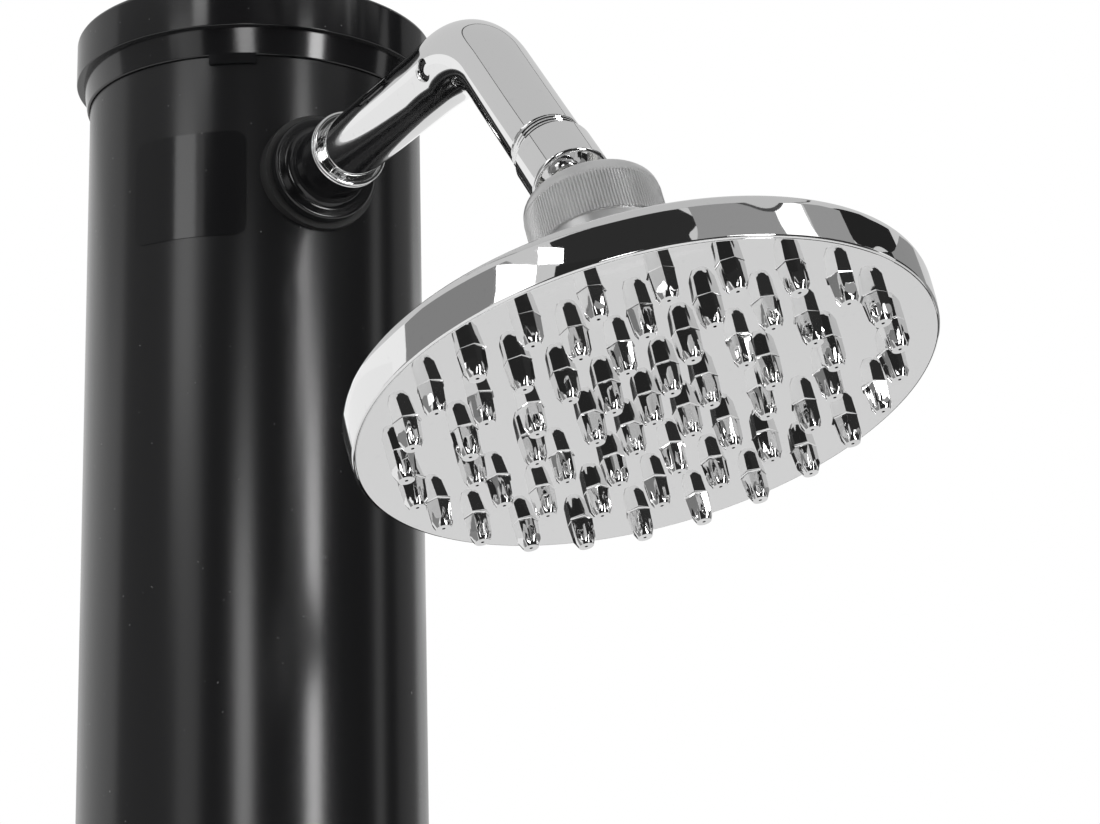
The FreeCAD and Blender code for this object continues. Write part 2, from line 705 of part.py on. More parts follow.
def thread_points(radius, low, high, pitch, depth):
    """The crests and roots of a thread drawn as plain rings, from low to high."""
    points = []
    count = int((high - low) / pitch)
    for turn in range(count):
        foot = low + turn * pitch
        points += [(radius, foot), (radius, foot + pitch * 0.35), (radius - depth, foot + pitch * 0.5),
                   (radius - depth, foot + pitch * 0.85)]
    return points


def arm():
    """The straight arm, its seal, and the elbow that turns it down into the neck."""
    groove = s.arm_start + 3
    floor = s.arm_radius - 1.45
    straight = outward(turned("shower_arm", [
        (s.arm_bore, s.arm_start), (s.arm_radius, s.arm_start), (s.arm_radius, groove),
        (floor, groove), (floor, groove + 2), (s.arm_radius, groove + 2),
        (s.arm_radius, s.elbow_start), (s.spigot_radius, s.elbow_start),
        (s.spigot_radius, s.spigot_end), (s.arm_bore, s.spigot_end)]), s.arm_height)
    pit = screw_way(cylinder("screw_pit", s.screw_hole, 10), s.screw_floor)
    keep("shower_arm", cut("shower_arm", straight, pit))
    seal = turned("arm_seal", [(floor, groove + 0.2), (s.arm_radius + 0.05, groove + 0.2),
                               (s.arm_radius + 0.05, groove + 1.8), (floor, groove + 1.8)])
    keep("arm_seal", outward(seal, s.arm_height))

    elbow(*bend_places())


def elbow(start, run):
    """The elbow: sleeve over the arm's end, bend and threaded neck, and its locking screw."""
    path = bend_path()
    sleeve = outward(turned("elbow_sleeve", [
        (0, s.elbow_start), (s.arm_radius, s.elbow_start), (s.elbow_radius, s.elbow_start + 11),
        (s.elbow_radius, start), (0, start)]), s.arm_height)
    low, high = s.neck_end, s.thread_end
    crests = [(radius, height) for radius, height in
              thread_points(10.25, low.number, high.number, 1.4, 0.45)]
    neck = on_neck(turned("neck", [(0, run), (s.neck_radius, run), (s.neck_radius, low)]
                          + crests + [(9.8, high), (0, high)]))
    outside = fuse("elbow_outside", sleeve, bend("bend", path, s.elbow_radius, s.neck_radius), neck)
    socket = place(cylinder("elbow_socket", s.spigot_radius + s.seat_gap, s.spigot_end - s.elbow_start + 1.5),
                   s.elbow_start - 1, 0, s.arm_height, UP_TO_OUT)
    bore = place(cylinder("neck_bore", s.arm_bore, s.thread_end - run + 1),
                 s.corner_reach + run * NECK_OUT, 0, s.arm_height - run * NECK_DOWN, UP_TO_NECK)
    mouth = turned("screw_mouth", [(0, 0), (s.screw_hole, 0), (s.screw_hole, 3), (s.screw_hole + 0.9, 4),
                                   (s.screw_hole + 0.9, 8), (0, 8)])
    hole = screw_way(mouth, s.screw_floor)
    keep("arm_elbow", cut("arm_elbow", outside, socket, bend("bend_bore", path, s.arm_bore, s.arm_bore),
                          bore, hole))
    screw = cylinder("screw_blank", s.screw_hole - 0.05, s.screw_top - s.screw_floor - 0.05)
    recess = screw_way(hex_bar("screw_recess", 2.1, 3), s.screw_top - 1.2)
    keep("elbow_screw", cut("elbow_screw", screw_way(screw, s.screw_floor + 0.05), recess))


def screw_way(piece, reach):
    """Point a piece's Z along the locking screw, its origin a reach out from the arm's axis."""
    down = math.radians(SCREW_DROP)
    out = FreeCAD.Vector(0, -math.cos(down), -math.sin(down))
    turn = FreeCAD.Rotation(FreeCAD.Vector(0, 0, 1), out)
    return place(piece, s.screw_place, reach * out.y, s.arm_height + reach * out.z, turn)


def swivel():
    """The nut, its washer, the flow restrictor and the ball stem they hold on the neck."""
    lip = s.nut_end - 2.6
    outer = s.swivel_radius
    keep("swivel_nut", on_neck(turned("swivel_nut", [
        (10.3, s.nut_start), (outer - 0.5, s.nut_start), (outer, s.nut_start + 0.5),
        (outer, s.nut_end - 1.8), (outer - 1.3, s.nut_end), (5.6, s.nut_end), (5.6, lip),
        (10.3, lip)])))
    flange = lip - 2.9
    keep("nut_washer", on_neck(tube("nut_washer", 9.9, 6.2, s.thread_end + 0.05, flange - 0.05)))
    foot = s.ball_reach + math.sqrt(SIZES["ball_radius"] ** 2 - 4.2 ** 2)
    stem = turned("ball_stem", [
        (0, flange), (9.9, flange), (9.9, lip - 0.05), (s.ball_stem + 0.6, lip - 0.05),
        (s.ball_stem + 0.6, s.nut_end + 0.6), (s.ball_stem, s.nut_end + 1.6),
        (s.ball_stem, s.ball_reach), (0, s.ball_reach)])
    bore = place(cylinder("stem_bore", s.ball_bore, s.ball_reach + s.ball_radius), 0, 0, 0)
    below = place(cylinder("ball_foot", s.ball_radius, s.ball_radius), 0, 0, foot)
    whole = fuse("ball_and_stem", stem, sphere("ball", s.ball_radius, s.ball_reach))
    keep("ball_stem", on_neck(cut("ball_stem", whole, bore, below)))
    keep("flow_restrictor", on_neck(turned("flow_restrictor", [
        (1.1, flange - 6), (6.0, flange - 6), (6.0, flange - 1.0), (2.6, flange - 1.0),
        (2.6, flange - 4.6), (1.1, flange - 4.6)])))


def arc_bulge(radius, start, end):
    """The bulge of the lesser arc of a radius between two points."""
    chord = math.hypot(end[0] - start[0], end[1] - start[1])
    return radius - math.sqrt(radius ** 2 - chord ** 2 / 4)


def on_ball(radius, polar):
    """A point of a ball about the head's joint, its polar angle taken from the head's axis."""
    angle = math.radians(polar)
    return radius * math.sin(angle), s.ball_height + radius * math.cos(angle)


# ---------------------------------------------------------------- head

def ball_joint():
    """The split liner round the ball and the knurled collar screwed over the head's neck."""
    inner = s.ball_radius + s.cup_gap
    outer = inner + s.cup_thick
    wedge = turned("liner_wedge", [on_ball(10, 108), on_ball(10, 60), on_ball(14, 60), on_ball(15, 84),
                                   on_ball(14, 108)])
    rind = common("liner_rind", wedge, sphere("liner_outside", outer, s.ball_height))
    keep("ball_liner", on_head(cut("ball_liner", rind, sphere("liner_inside", inner, s.ball_height))))

    thread = s.thread_radius + s.thread_gap
    seam = s.thread_top + 0.2
    collar = turned("head_collar", [
        (thread, s.collar_foot), (s.skirt_of_collar - 0.4, s.collar_foot),
        (s.skirt_of_collar, s.collar_foot + 0.4), (s.skirt_of_collar, s.knurl_foot - 0.5),
        (s.collar_radius, s.knurl_foot), (s.collar_radius, s.knurl_top),
        (s.collar_radius - 0.6, s.knurl_top + 0.5, -0.85), (14.0, s.collar_top),
        (s.collar_mouth, s.collar_top), (s.collar_mouth, seam), (thread, seam)])
    keep("head_collar", on_head(cut("head_collar", collar, ball_seat())))


def ball_seat():
    """The hollow that the liner turns in, in the collar and in the head's neck alike."""
    return sphere("ball_seat", s.ball_radius + s.cup_gap + s.cup_thick + 0.08, s.ball_height)


def head_shell():
    """The back of the head: rim, shallow dome and the threaded neck with the ball's seat."""
    rim, lip, seam = s.rim_radius, s.seam_height + 2.4, s.seam_radius + 0.15
    root, shoulder = s.neck_root_height, s.collar_foot - 0.6
    outside = [(seam, s.seam_height + 0.1), (rim - 0.6, s.seam_height + 0.4), (rim - 0.3, 10),
               (rim - 0.1, 13.5), (rim, s.rim_height), (rim - 0.2, s.rim_height + 1, -0.35),
               (rim - 1.9, 19.2), (70, 20.4, -2.6), (23, 38), (s.neck_root, root, 0.3),
               (s.neck_root - 0.7, shoulder), (s.thread_radius, shoulder), (s.thread_radius, s.thread_top)]
    inside = [(s.seal_radius, s.thread_top), (s.seal_radius, s.seal_floor), (s.waterway, s.seal_floor),
              (s.waterway, root), (14, 38.5, 0.3), (22, 34.5, 2.6), (69.5, 17.6), (s.wall_inside, 15.2),
              (s.wall_inside, lip), (seam, lip)]
    shell = turned("head_shell", outside + inside)
    keep("head_shell", on_head(cut("head_shell", shell, ball_seat())))
    seal_top, seal_low = (8.6, 57.18), (7.5, 56.02)
    keep("ball_seal", on_head(turned("ball_seal", [
        (7.5, 53.65), (9.3, 53.65), (9.3, 56.0), seal_top + (arc_bulge(11.1, seal_top, seal_low),),
        seal_low])))


def face_plate():
    """The dished face with its rings of six-sided nozzles, and the seal behind its edge."""
    body = new_body("face_plate")
    sketch = new_sketch(body, "XZ_Plane")
    edge, back = s.seam_height, s.seam_height + 2.35
    outline(sketch, [
        (0, s.plate_centre, 0.565), (s.seam_radius, edge), (s.seam_radius, back), (73.45, back),
        (73.45, back + 1.4), (71.4, back + 1.4), (71.4, back + 3.9), (73.45, back + 3.9),
        (73.45, back + 5.4), (69.4, back + 5.4), (69.4, back + 0.4, -0.45), (0, s.plate_centre + 2.4)])
    revolve(body, sketch)
    doc.recompute()
    for radius, count, tip in ((0, 1, 1.6), (s.ring_one, 6, 1.4), (s.ring_two, 12, 1.05),
                               (s.ring_three, 18, 0.55), (s.ring_four, 24, 0)):
        nozzle_ring(body, radius, count, tip)
    keep("face_plate", on_head(body))
    keep("face_seal", on_head(torus("face_seal", 72.5, 1.08, 0), back + 2.65))


def nozzle_ring(body, radius, count, tip):
    """One ring of nozzles: a six-sided body widening from the tip, drilled through."""
    sketch = new_sketch(body, "XY_Plane")
    sketch.AttachmentOffset = FreeCAD.Placement(FreeCAD.Vector(0, 0, tip), FreeCAD.Rotation())
    hexagon(sketch, radius, s.nozzle_corner)
    cone = pad(body, sketch, s.nozzle_length)
    cone.TaperAngle = 3.4
    doc.recompute()
    if count > 1:
        around(body, cone, count)
    holes = new_sketch(body, "XY_Plane")
    circle(holes, radius, 0, s.nozzle_bore)
    bore = pocket(body, holes, 16, reverse=True)
    if count > 1:
        around(body, bore, count)


def hexagon(sketch, radius, corner):
    """A six-sided outline with its flats facing in and out."""
    radius, corner = as_size(radius), as_size(corner)
    angles = [math.radians(60 * i + 30) for i in range(6)]
    outline(sketch, [(radius + corner * math.cos(a), corner * math.sin(a)) for a in angles])


# ---------------------------------------------------------------- mixer

def mixer():
    """The mixer's body with its three ports, the cartridge, spindle, cover and lever."""
    height = s.mixer_height
    blank = outward(turned("mixer_blank", [
        (0, 2), (s.mixer_stem, 2), (s.mixer_stem, s.gasket_face), (s.mixer_flange, s.gasket_face),
        (s.mixer_flange, s.mixer_face - 1.5), (s.mixer_flange - 1.5, s.mixer_face),
        (s.mixer_radius + 2, s.mixer_face, 0.6), (s.mixer_radius, s.mixer_face + 2),
        (s.mixer_radius, s.mixer_end), (0, s.mixer_end)]), height)
    parts, tools = [blank], []
    for x, way, down in ((s.riser_place, 8, False), (s.hot_place, 0, False), (s.riser_place, -8, True)):
        spigot, bore = barb(x, height, down)
        place(bore, x, 0, height + way * 0.75, bore.Placement.Rotation)
        channel = place(cylinder("channel", 3.0, s.cartridge_start - x + 3), x - 2, 0, height + way, UP_TO_OUT)
        parts.append(spigot)
        tools += [bore, channel]
    front = place(cylinder("front_bore", s.cartridge_radius + s.seat_gap, 40),
                  s.cartridge_start, 0, height, UP_TO_OUT)
    keep("mixer_body", cut("mixer_body", fuse("mixer_whole", *parts), *tools, front))

    ring = radial(tube("saddle", s.mixer_flange + 1.5, s.mixer_stem + 0.1, 46, s.gasket_face), height, 0, 0)
    keep("mixer_gasket", cut("mixer_gasket", ring, column_rod(s.column_radius, height - 40, height + 40)))
    ring = radial(tube("saddle", 20.5, s.mixer_stem + 0.1, 44.5, 60), height, 0, 0)
    keep("mixer_washer", common("mixer_washer", ring, column_rod(column_inner, height - 40, height + 40)))
    keep("mixer_nut", radial(hex_ring("mixer_nut", 22, s.mixer_stem + 0.1, 7), height, 37.5, 0))

    keep("cartridge", outward(turned("cartridge", [
        (s.spindle_radius + 0.05, s.cartridge_start + 6), (2.0, s.cartridge_start + 6),
        (2.0, s.cartridge_start + 0.1), (s.cartridge_radius, s.cartridge_start + 0.1),
        (s.cartridge_radius, 91), (14.0, 91), (14.0, 94), (s.spindle_radius + 0.05, 94)]), height))
    cover()
    lever()


def cover():
    """The domed nut that holds the cartridge down; the lever's skirt slides over it."""
    pivot = s.pivot_place
    outer, inner = SIZES["cover_outside"], SIZES["cover_inside"]
    rear, front, seat = 8.0, 9.0, 4.0
    foot = (math.sqrt(outer ** 2 - rear ** 2), rear)
    rim = (math.sqrt(outer ** 2 - front ** 2), front)
    mouth = (math.sqrt(inner ** 2 - front ** 2), front)
    back = (math.sqrt(inner ** 2 - seat ** 2), seat)
    arc_out = -arc_bulge(outer, (foot[0], -rear), rim)
    arc_in = arc_bulge(inner, mouth, (back[0], -seat))
    keep("mixer_cover", outward(turned("mixer_cover", [
        (14.1, pivot - 12.9), (s.cartridge_radius, pivot - 12.9), (s.cartridge_radius, pivot - rear),
        (foot[0], pivot - rear, arc_out), (rim[0], pivot + front), (mouth[0], pivot + front, arc_in),
        (back[0], pivot - seat), (14.1, pivot - seat)]), s.mixer_height))


def lever():
    """The spindle that turns in the cartridge and the lever that lifts on its pin."""
    pivot, height = s.pivot_place, s.mixer_height
    bar = outward(turned("spindle", [
        (0, s.cartridge_start + 6.5), (s.spindle_radius, s.cartridge_start + 6.5),
        (s.spindle_radius, pivot + 5), (s.spindle_radius - 1, pivot + 6), (0, pivot + 6)]), height)
    across = FreeCAD.Rotation(FreeCAD.Vector(1, 0, 0), 90)
    hole = place(cylinder("pin_hole", s.pin_radius + 0.05, 30), pivot, 15, height, across)
    keep("spindle", cut("spindle", bar, hole))
    keep("lever_pin", place(cylinder("lever_pin", s.pin_radius, 17.4), pivot, 8.7, height, across))

    inner, outer, edge = SIZES["skirt_inside"], SIZES["skirt_outside"], math.radians(80)
    low_in = (inner * math.sin(edge), inner * math.cos(edge))
    low_out = (outer * math.sin(edge), outer * math.cos(edge))
    skirt = outward(turned("skirt", [
        (0, pivot + inner, inner * (1 - math.cos(edge / 2))), (low_in[0], pivot + low_in[1]),
        (low_out[0], pivot + low_out[1], -outer * (1 - math.cos(edge / 2))), (0, pivot + outer)]), height)
    cheeks = [place(box("cheek", 25, 3.3, 10), pivot - 4.5, y, height - 5) for y in (5.35, -8.65)]
    pin_hole = place(cylinder("cheek_hole", s.pin_radius, 30), pivot, 15, height, across)
    body = new_body("handle")
    sketch = new_sketch(body, "XZ_Plane")
    outline(sketch, [(pivot + 21.5, 8), (pivot + 26, 7), (pivot + 29, 0), (pivot + 33, -84),
                     (pivot + 26.5, -86), (pivot + 20, -14)])
    grip = body.newObject("PartDesign::Pad", "Pad")
    grip.Profile = sketch
    grip.Midplane = True
    grip.setExpression("Length", s.lever_width.text)
    doc.recompute()
    soften(body, 2.4, lambda edge: edge.BoundBox.YLength < 0.1 and edge.Length > 60)
    place(body, 0, 0, height)
    seat = place(cylinder("index_seat", s.index_radius + 0.1, 8), pivot + 26, 0, height - 6, UP_TO_OUT)
    whole = fuse("lever_whole", skirt, body, *cheeks)
    keep("mixer_lever", cut("mixer_lever", whole, pin_hole, seat))
    keep("index_cap", place(cylinder("index_cap", s.index_radius, 3.4), pivot + 26, 0, height - 6, UP_TO_OUT))


# ---------------------------------------------------------------- foot tap, hose inlet, drain

def foot_tap():
    """The low tap with its downward spout, headwork, spindle and quarter-turn handle."""
    height = s.tap_height
    blank = outward(turned("tap_blank", [
        (0, s.stem_end + 14), (s.stem_radius, s.stem_end + 14), (s.stem_radius, s.gasket_face),
        (s.flange_radius, s.gasket_face), (s.flange_radius, s.flange_face - 1),
        (s.flange_radius - 1, s.flange_face), (s.tap_radius, s.flange_face),
        (s.tap_radius, s.tap_end), (0, s.tap_end)]), height)
    spout = place(cylinder("spout", 7.6, 36), s.spout_place, 0, height, UP_TO_DOWN)
    way = place(cylinder("tap_way", 5.0, 60), s.stem_end + 10, 0, height, UP_TO_OUT)
    seat = place(cylinder("tap_seat", 8.0, 20), 80, 0, height, UP_TO_OUT)
    drop = place(cylinder("spout_bore", 5.4, 40), s.spout_place, 0, height, UP_TO_DOWN)
    keep("tap_body", cut("tap_body", fuse("tap_whole", blank, spout), way, seat, drop))
    keep("tap_headwork", outward(turned("tap_headwork", [
        (s.tap_spindle + 0.05, 80.2), (7.95, 80.2), (7.95, s.tap_end), (10.4, s.tap_end),
        (10.4, s.tap_end + 4), (s.tap_spindle + 0.05, s.tap_end + 4)]), height))
    hole = place(cylinder("thread", 1.6, 30), s.tap_end + 8, 0, height, UP_TO_OUT)
    spindle = outward(turned("tap_spindle", [(0, 80.6), (s.tap_spindle, 80.6),
                                             (s.tap_spindle, s.tap_end + 14), (0, s.tap_end + 14)]), height)
    keep("tap_spindle", cut("tap_spindle", spindle, hole))
    hub = outward(turned("hub", [
        (0, s.tap_end + 4.6), (9.5, s.tap_end + 4.6), (10.2, s.tap_end + 6), (9.4, s.tap_end + 18),
        (8.4, s.tap_end + 19), (0, s.tap_end + 19)]), height)
    arm_blank = place(cylinder("grip", 4.6, 40), s.tap_end + 11, 0, height)
    knob = place(sphere("knob", 5.6, 0), s.tap_end + 11, 0, height + 40)
    bore = place(cylinder("hub_bore", s.tap_spindle + 0.03, 9.42), s.tap_end + 4.6, 0, height, UP_TO_OUT)
    screw_hole = place(cylinder("hub_hole", 1.7, 20), s.tap_end + 8, 0, height, UP_TO_OUT)
    recess = place(cylinder("hub_recess", 3.6, 6), s.tap_end + 17, 0, height, UP_TO_OUT)
    keep("tap_handle", cut("tap_handle", fuse("handle_whole", hub, arm_blank, knob), bore, screw_hole, recess))
    screw = turned("tap_screw", [(0, 0), (1.55, 0), (1.55, 7.0), (3.3, 7.0), (3.3, 8.4), (2.9, 8.8),
                                 (1.2, 8.8), (1.2, 7.8), (0, 7.8)])
    keep("tap_screw", place(screw, s.tap_end + 10, 0, height, UP_TO_OUT))


def hose_inlet():
    """The garden-hose nipple at the back with its screen, and the barb for the cold pipe."""
    height = s.inlet_height
    blank = backward(turned("inlet_blank", [
        (0, s.stem_end), (s.stem_radius, s.stem_end), (s.stem_radius, s.gasket_face),
        (s.flange_radius, s.gasket_face), (s.flange_radius, s.flange_face - 1),
        (s.flange_radius - 1, s.flange_face), (12.0, s.flange_face), (12.0, 76), (s.nose_radius, 76),
        (s.nose_radius, 90), (7.0, 91), (7.0, 94), (s.nose_radius, 95), (s.nose_radius, 98),
        (6.6, 104), (0, 104)]), height)
    spigot, bore = barb(-s.riser_place, height)
    way = place(cylinder("inlet_way", 4.6, 60), -(s.stem_end + 3), 0, height, UP_TO_BACK)
    mouth = place(cylinder("inlet_mouth", 5.4, 40), -79, 0, height, UP_TO_BACK)
    keep("hose_connector", cut("hose_connector", fuse("inlet_whole", blank, spigot), way, mouth, bore))
    keep("inlet_screen", backward(tube("inlet_screen", 5.35, 1.2, 79, 80.2), height))


def drain():
    """The screw plug that empties the column for winter, with its seal."""
    height = s.drain_height
    shank, flange, bore = s.drain_radius, s.drain_flange, s.drain_radius + 0.1
    face, front, slot = s.gasket_face, s.gasket_face + 5, s.gasket_face + 2.5
    keep("drain_plug", backward(turned("drain_plug", [
        (0, s.washer_face - 0.5), (shank, s.washer_face - 0.5), (shank, face), (flange, face),
        (flange, front - 1.5), (flange - 1, front), (4.2, front), (4.2, slot), (0, slot)]), height))
    ring = radial(tube("saddle", flange, bore, 50, face), height, 0, 180)
    keep("drain_seal", cut("drain_seal", ring, column_rod(s.column_radius, height - 20, height + 20)))
    nut = radial(hex_ring("drain_nut", flange + 0.5, bore, 5), height, s.washer_face, 180)
    ring = radial(tube("saddle", flange, bore, s.washer_face + 5, face), height, 0, 180)
    washer = common("drain_washer", ring, column_rod(column_inner, height - 20, height + 20))
    keep("drain_nut", fuse("drain_nut", nut, washer))


def pipes():
    """The three pipes inside the column and the clips at their ends."""
    low, high = s.mixer_height + s.mixer_stem + 1.5, s.arm_height - s.stem_radius - 2
    keep("riser_pipe", place(tube("riser_pipe", s.pipe_radius, s.pipe_bore, 0, high - low),
                             s.riser_place, 0, low))
    keep("hot_pipe", place(tube("hot_pipe", s.pipe_radius, s.pipe_bore, 0, s.hot_top - low),
                           s.hot_place, 0, low))
    cold_pipe()
    clips = []
    for x, height in ((s.riser_place, low + 6), (s.riser_place, high - 14), (s.hot_place, low + 6),
                      (s.riser_place, s.mixer_height - s.mixer_stem - 15.5),
                      (-s.riser_place, s.inlet_height + s.stem_radius + 8)):
        clips.append(place(tube("clip", s.clip_radius, s.pipe_radius + 0.03, 0, 8), x, 0, height))
    group("hose_clips", clips)


def cold_pipe():
    """The cold pipe: up from the inlet at the back, across, and up into the mixer."""
    low, high = s.inlet_height + s.stem_radius + 2, s.mixer_height - s.mixer_stem - 1.5
    cross_low, cross_high = 880.0, 960.0
    side = SIZES["riser_place"]
    slope = math.atan2(2 * side, cross_high - cross_low)
    radius = 60.0
    run = radius * math.tan(slope / 2)
    path = doc.addObject("Sketcher::SketchObject", "Path")
    path.Placement = FreeCAD.Placement(FreeCAD.Vector(0, 0, 0),
                                       FreeCAD.Rotation(FreeCAD.Vector(1, 0, 0), 90))
    off = FreeCAD.Vector(math.sin(slope), math.cos(slope), 0) * run
    first = FreeCAD.Vector(-side, cross_low - run, 0)
    second = FreeCAD.Vector(-side, cross_low, 0) + off
    third = FreeCAD.Vector(side, cross_high, 0) - off
    fourth = FreeCAD.Vector(side, cross_high + run, 0)
    middle_low = FreeCAD.Vector(-side + radius - radius * math.cos(slope / 2),
                                cross_low - run + radius * math.sin(slope / 2), 0)
    middle_high = FreeCAD.Vector(side - radius + radius * math.cos(slope / 2),
                                 cross_high + run - radius * math.sin(slope / 2), 0)
    path.addGeometry(Part.LineSegment(FreeCAD.Vector(-side, low.number, 0), first), False)
    path.addGeometry(Part.Arc(first, middle_low, second), False)
    path.addGeometry(Part.LineSegment(second, third), False)
    path.addGeometry(Part.Arc(third, middle_high, fourth), False)
    path.addGeometry(Part.LineSegment(fourth, FreeCAD.Vector(side, high.number, 0)), False)
    pin_point(path, 0, 1, -s.riser_place, low)
    pin_point(path, 4, 2, s.riser_place, high)
    doc.recompute()
    edges = [f"Edge{i}" for i in range(1, 6)]
    pipes_made = []
    for radius_of in (s.pipe_radius, s.pipe_bore):
        ring = doc.addObject("Part::Circle", "Circle")
        ring.Radius = radius_of.number
        ring.setExpression("Radius", radius_of.text)
        place(ring, -s.riser_place, 0, low)
        sweep = doc.addObject("Part::Sweep", "Sweep")
        sweep.Sections = [ring]
        sweep.Spine = (path, edges)
        sweep.Solid = True
        sweep.Frenet = False
        pipes_made.append(sweep)
    doc.recompute()
    keep("cold_pipe", cut("cold_pipe", *pipes_made))


# ---------------------------------------------------------------- everything

column_foot()
column_tubes()
column_joint()
column_top()
label()
fittings()
outlet()
arm()
swivel()
ball_joint()
head_shell()
face_plate()
mixer()
foot_tap()
hose_inlet()
drain()
pipes()
doc.recompute()

os.makedirs("parts", exist_ok=True)
for item in doc.Objects:
    if "Invalid" in item.State or "Error" in item.State:
        raise RuntimeError(f"{item.Label} did not build: {item.State}")
for name, piece in NODES.items():
    if piece.Shape.isNull() or not piece.Shape.isValid():
        raise RuntimeError(f"{name} has no valid shape")
    piece.Shape.exportStep(f"parts/{name}.step")
    print(f"{name}: {len(piece.Shape.Solids)} solids, {piece.Shape.Volume:.0f} mm3")
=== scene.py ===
import json
import math

import bmesh
import bpy
from mathutils import Matrix, Vector

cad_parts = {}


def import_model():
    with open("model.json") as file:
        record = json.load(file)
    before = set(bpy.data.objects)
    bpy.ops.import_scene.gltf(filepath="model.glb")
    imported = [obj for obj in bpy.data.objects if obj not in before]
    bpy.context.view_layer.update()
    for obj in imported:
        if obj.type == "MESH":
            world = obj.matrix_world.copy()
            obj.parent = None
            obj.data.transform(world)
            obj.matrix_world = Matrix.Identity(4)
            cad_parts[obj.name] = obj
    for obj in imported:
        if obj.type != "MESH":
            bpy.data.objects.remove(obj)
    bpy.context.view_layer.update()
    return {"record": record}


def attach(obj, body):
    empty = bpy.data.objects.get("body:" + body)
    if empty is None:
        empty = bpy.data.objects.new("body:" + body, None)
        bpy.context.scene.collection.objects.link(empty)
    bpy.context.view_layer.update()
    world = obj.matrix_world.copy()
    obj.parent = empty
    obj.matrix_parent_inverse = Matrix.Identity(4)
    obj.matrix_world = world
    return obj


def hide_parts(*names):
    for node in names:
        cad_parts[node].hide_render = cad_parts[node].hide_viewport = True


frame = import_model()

# Outdoor shower post: a black column with its cap, a chrome arm and elbow, and a round rain head
# on a ball joint. Shapes are drawn in millimetres on their own axes and put in place in metres.

MM = 0.001

# the column, its cap, and the heights above the ground of its fittings' lines
ARM_HEIGHT = 2080
MIXER_HEIGHT = 1060
TAP_HEIGHT = 330
INLET_HEIGHT = 150
DRAIN_HEIGHT = 92
COLUMN_RADIUS = 58
COLUMN_BORE = 55
COLUMN_FOOT, COLUMN_TOP = 10, 2124
SEAM_LOW, SEAM_HIGH = 1157, 1163
CAP_RADIUS = 62.8
CAP_BORE = 58.15
CAP_SKIRT = 59.0
LOOSE_FIT = 0.05

# the fittings in the column's wall, measured out from the column's axis
SPIGOT_RADIUS = 10.45
FLANGE_RADIUS = 17.6
FLANGE_FOOT, FLANGE_TOP = 60.05, 64.5

# the middle of the ball that the mixer's cover and skirt share
MIXER_BALL = 104

# the arm, its elbow and neck
WATERWAY = 6.5
ARM_RADIUS = 10.35
BOSS_RADIUS = 12.35
BOSS_END = 81.8
RING_RADIUS = 12.7
SLEEVE_START, SLEEVE_STOP = 143, 159
CORNER_REACH = 179.12
NECK_DROP = 48
BEND_RADIUS = 42
BEND_RUN = BEND_RADIUS * math.tan(math.radians(NECK_DROP / 2))
BEND_START = CORNER_REACH - BEND_RUN
NECK_RADIUS = 10.4
THREAD_START, THREAD_END = 62.0, 75.5
THREAD_PITCH, THREAD_TURNS = 1.4, 9
LOCK_REACH = 162
LOCK_TILT = 20

# the ball joint and the head: heights on the head's own line start below its face plate
BALL_RADIUS = 11.0
BALL_REACH = 99.93
BALL_LIFT = 64.2
SEAT_RADIUS = 12.68
COLLAR_RADIUS = 18.6
COLLAR_RIBS = 130
HEAD_AXIS = Vector((-0.29278, -0.07881, 0.95293)).normalized()
HEAD_SIDE = Vector((0.60753, 0.75426, 0.24904)).normalized()
PLATE_RADIUS = 75.2
PLATE_CENTRE = 9.1
RING_RADII = (0, 15.15, 31.26, 47.46, 63.7)
RING_COUNTS = (1, 6, 12, 18, 24)


# ---------------------------------------------------------------- places

def turn(axis, degrees):
    """A turn about one of the axes."""
    return Matrix.Rotation(math.radians(degrees), 4, axis)


def at(x=0, y=0, z=0):
    """A shift."""
    return Matrix.Translation((x, y, z))


def outward(height, azimuth=0):
    """A line out of the column at a height: +Z of the piece points away from the column."""
    return at(0, 0, height) @ turn("Z", azimuth) @ turn("Y", 90)


COLUMN_LINE = Matrix.Identity(4)
ARM_LINE = outward(ARM_HEIGHT)
NECK_LINE = at(CORNER_REACH, 0, ARM_HEIGHT) @ turn("Y", 90 + NECK_DROP)
BALL_CENTRE = NECK_LINE @ Vector((0, 0, BALL_REACH))
HEAD_LINE = Matrix.Translation(BALL_CENTRE - HEAD_AXIS * BALL_LIFT) @ Matrix(
    (HEAD_SIDE, HEAD_AXIS.cross(HEAD_SIDE), HEAD_AXIS)).transposed().to_4x4()


def on_arm(x):
    """A place on the arm's line, at a distance from the column's axis."""
    return ARM_LINE @ at(0, 0, x)


def on_bend(degrees):
    """A place on the middle line of the elbow's bend."""
    centre = at(BEND_START, 0, ARM_HEIGHT - BEND_RADIUS)
    return centre @ turn("Y", degrees) @ at(0, 0, BEND_RADIUS) @ turn("Y", 90)


def on_neck(length):
    """A place on the neck's line, at a distance from the corner where it meets the arm's line."""
    return NECK_LINE @ at(0, 0, length)


# ---------------------------------------------------------------- finishes

class Shade:
    """A node's output that takes arithmetic and adds the Math nodes for it."""

    def __init__(self, finish, socket):
        self.finish = finish
        self.socket = socket

    def joined(self, operation, first, second):
        """The result of one Math node."""
        return self.finish.node("ShaderNodeMath", {"operation": operation}, {0: first, 1: second})

    def __add__(self, other):
        return self.joined("ADD", self, other)

    def __mul__(self, other):
        return self.joined("MULTIPLY", self, other)

    __radd__ = __add__
    __rmul__ = __mul__


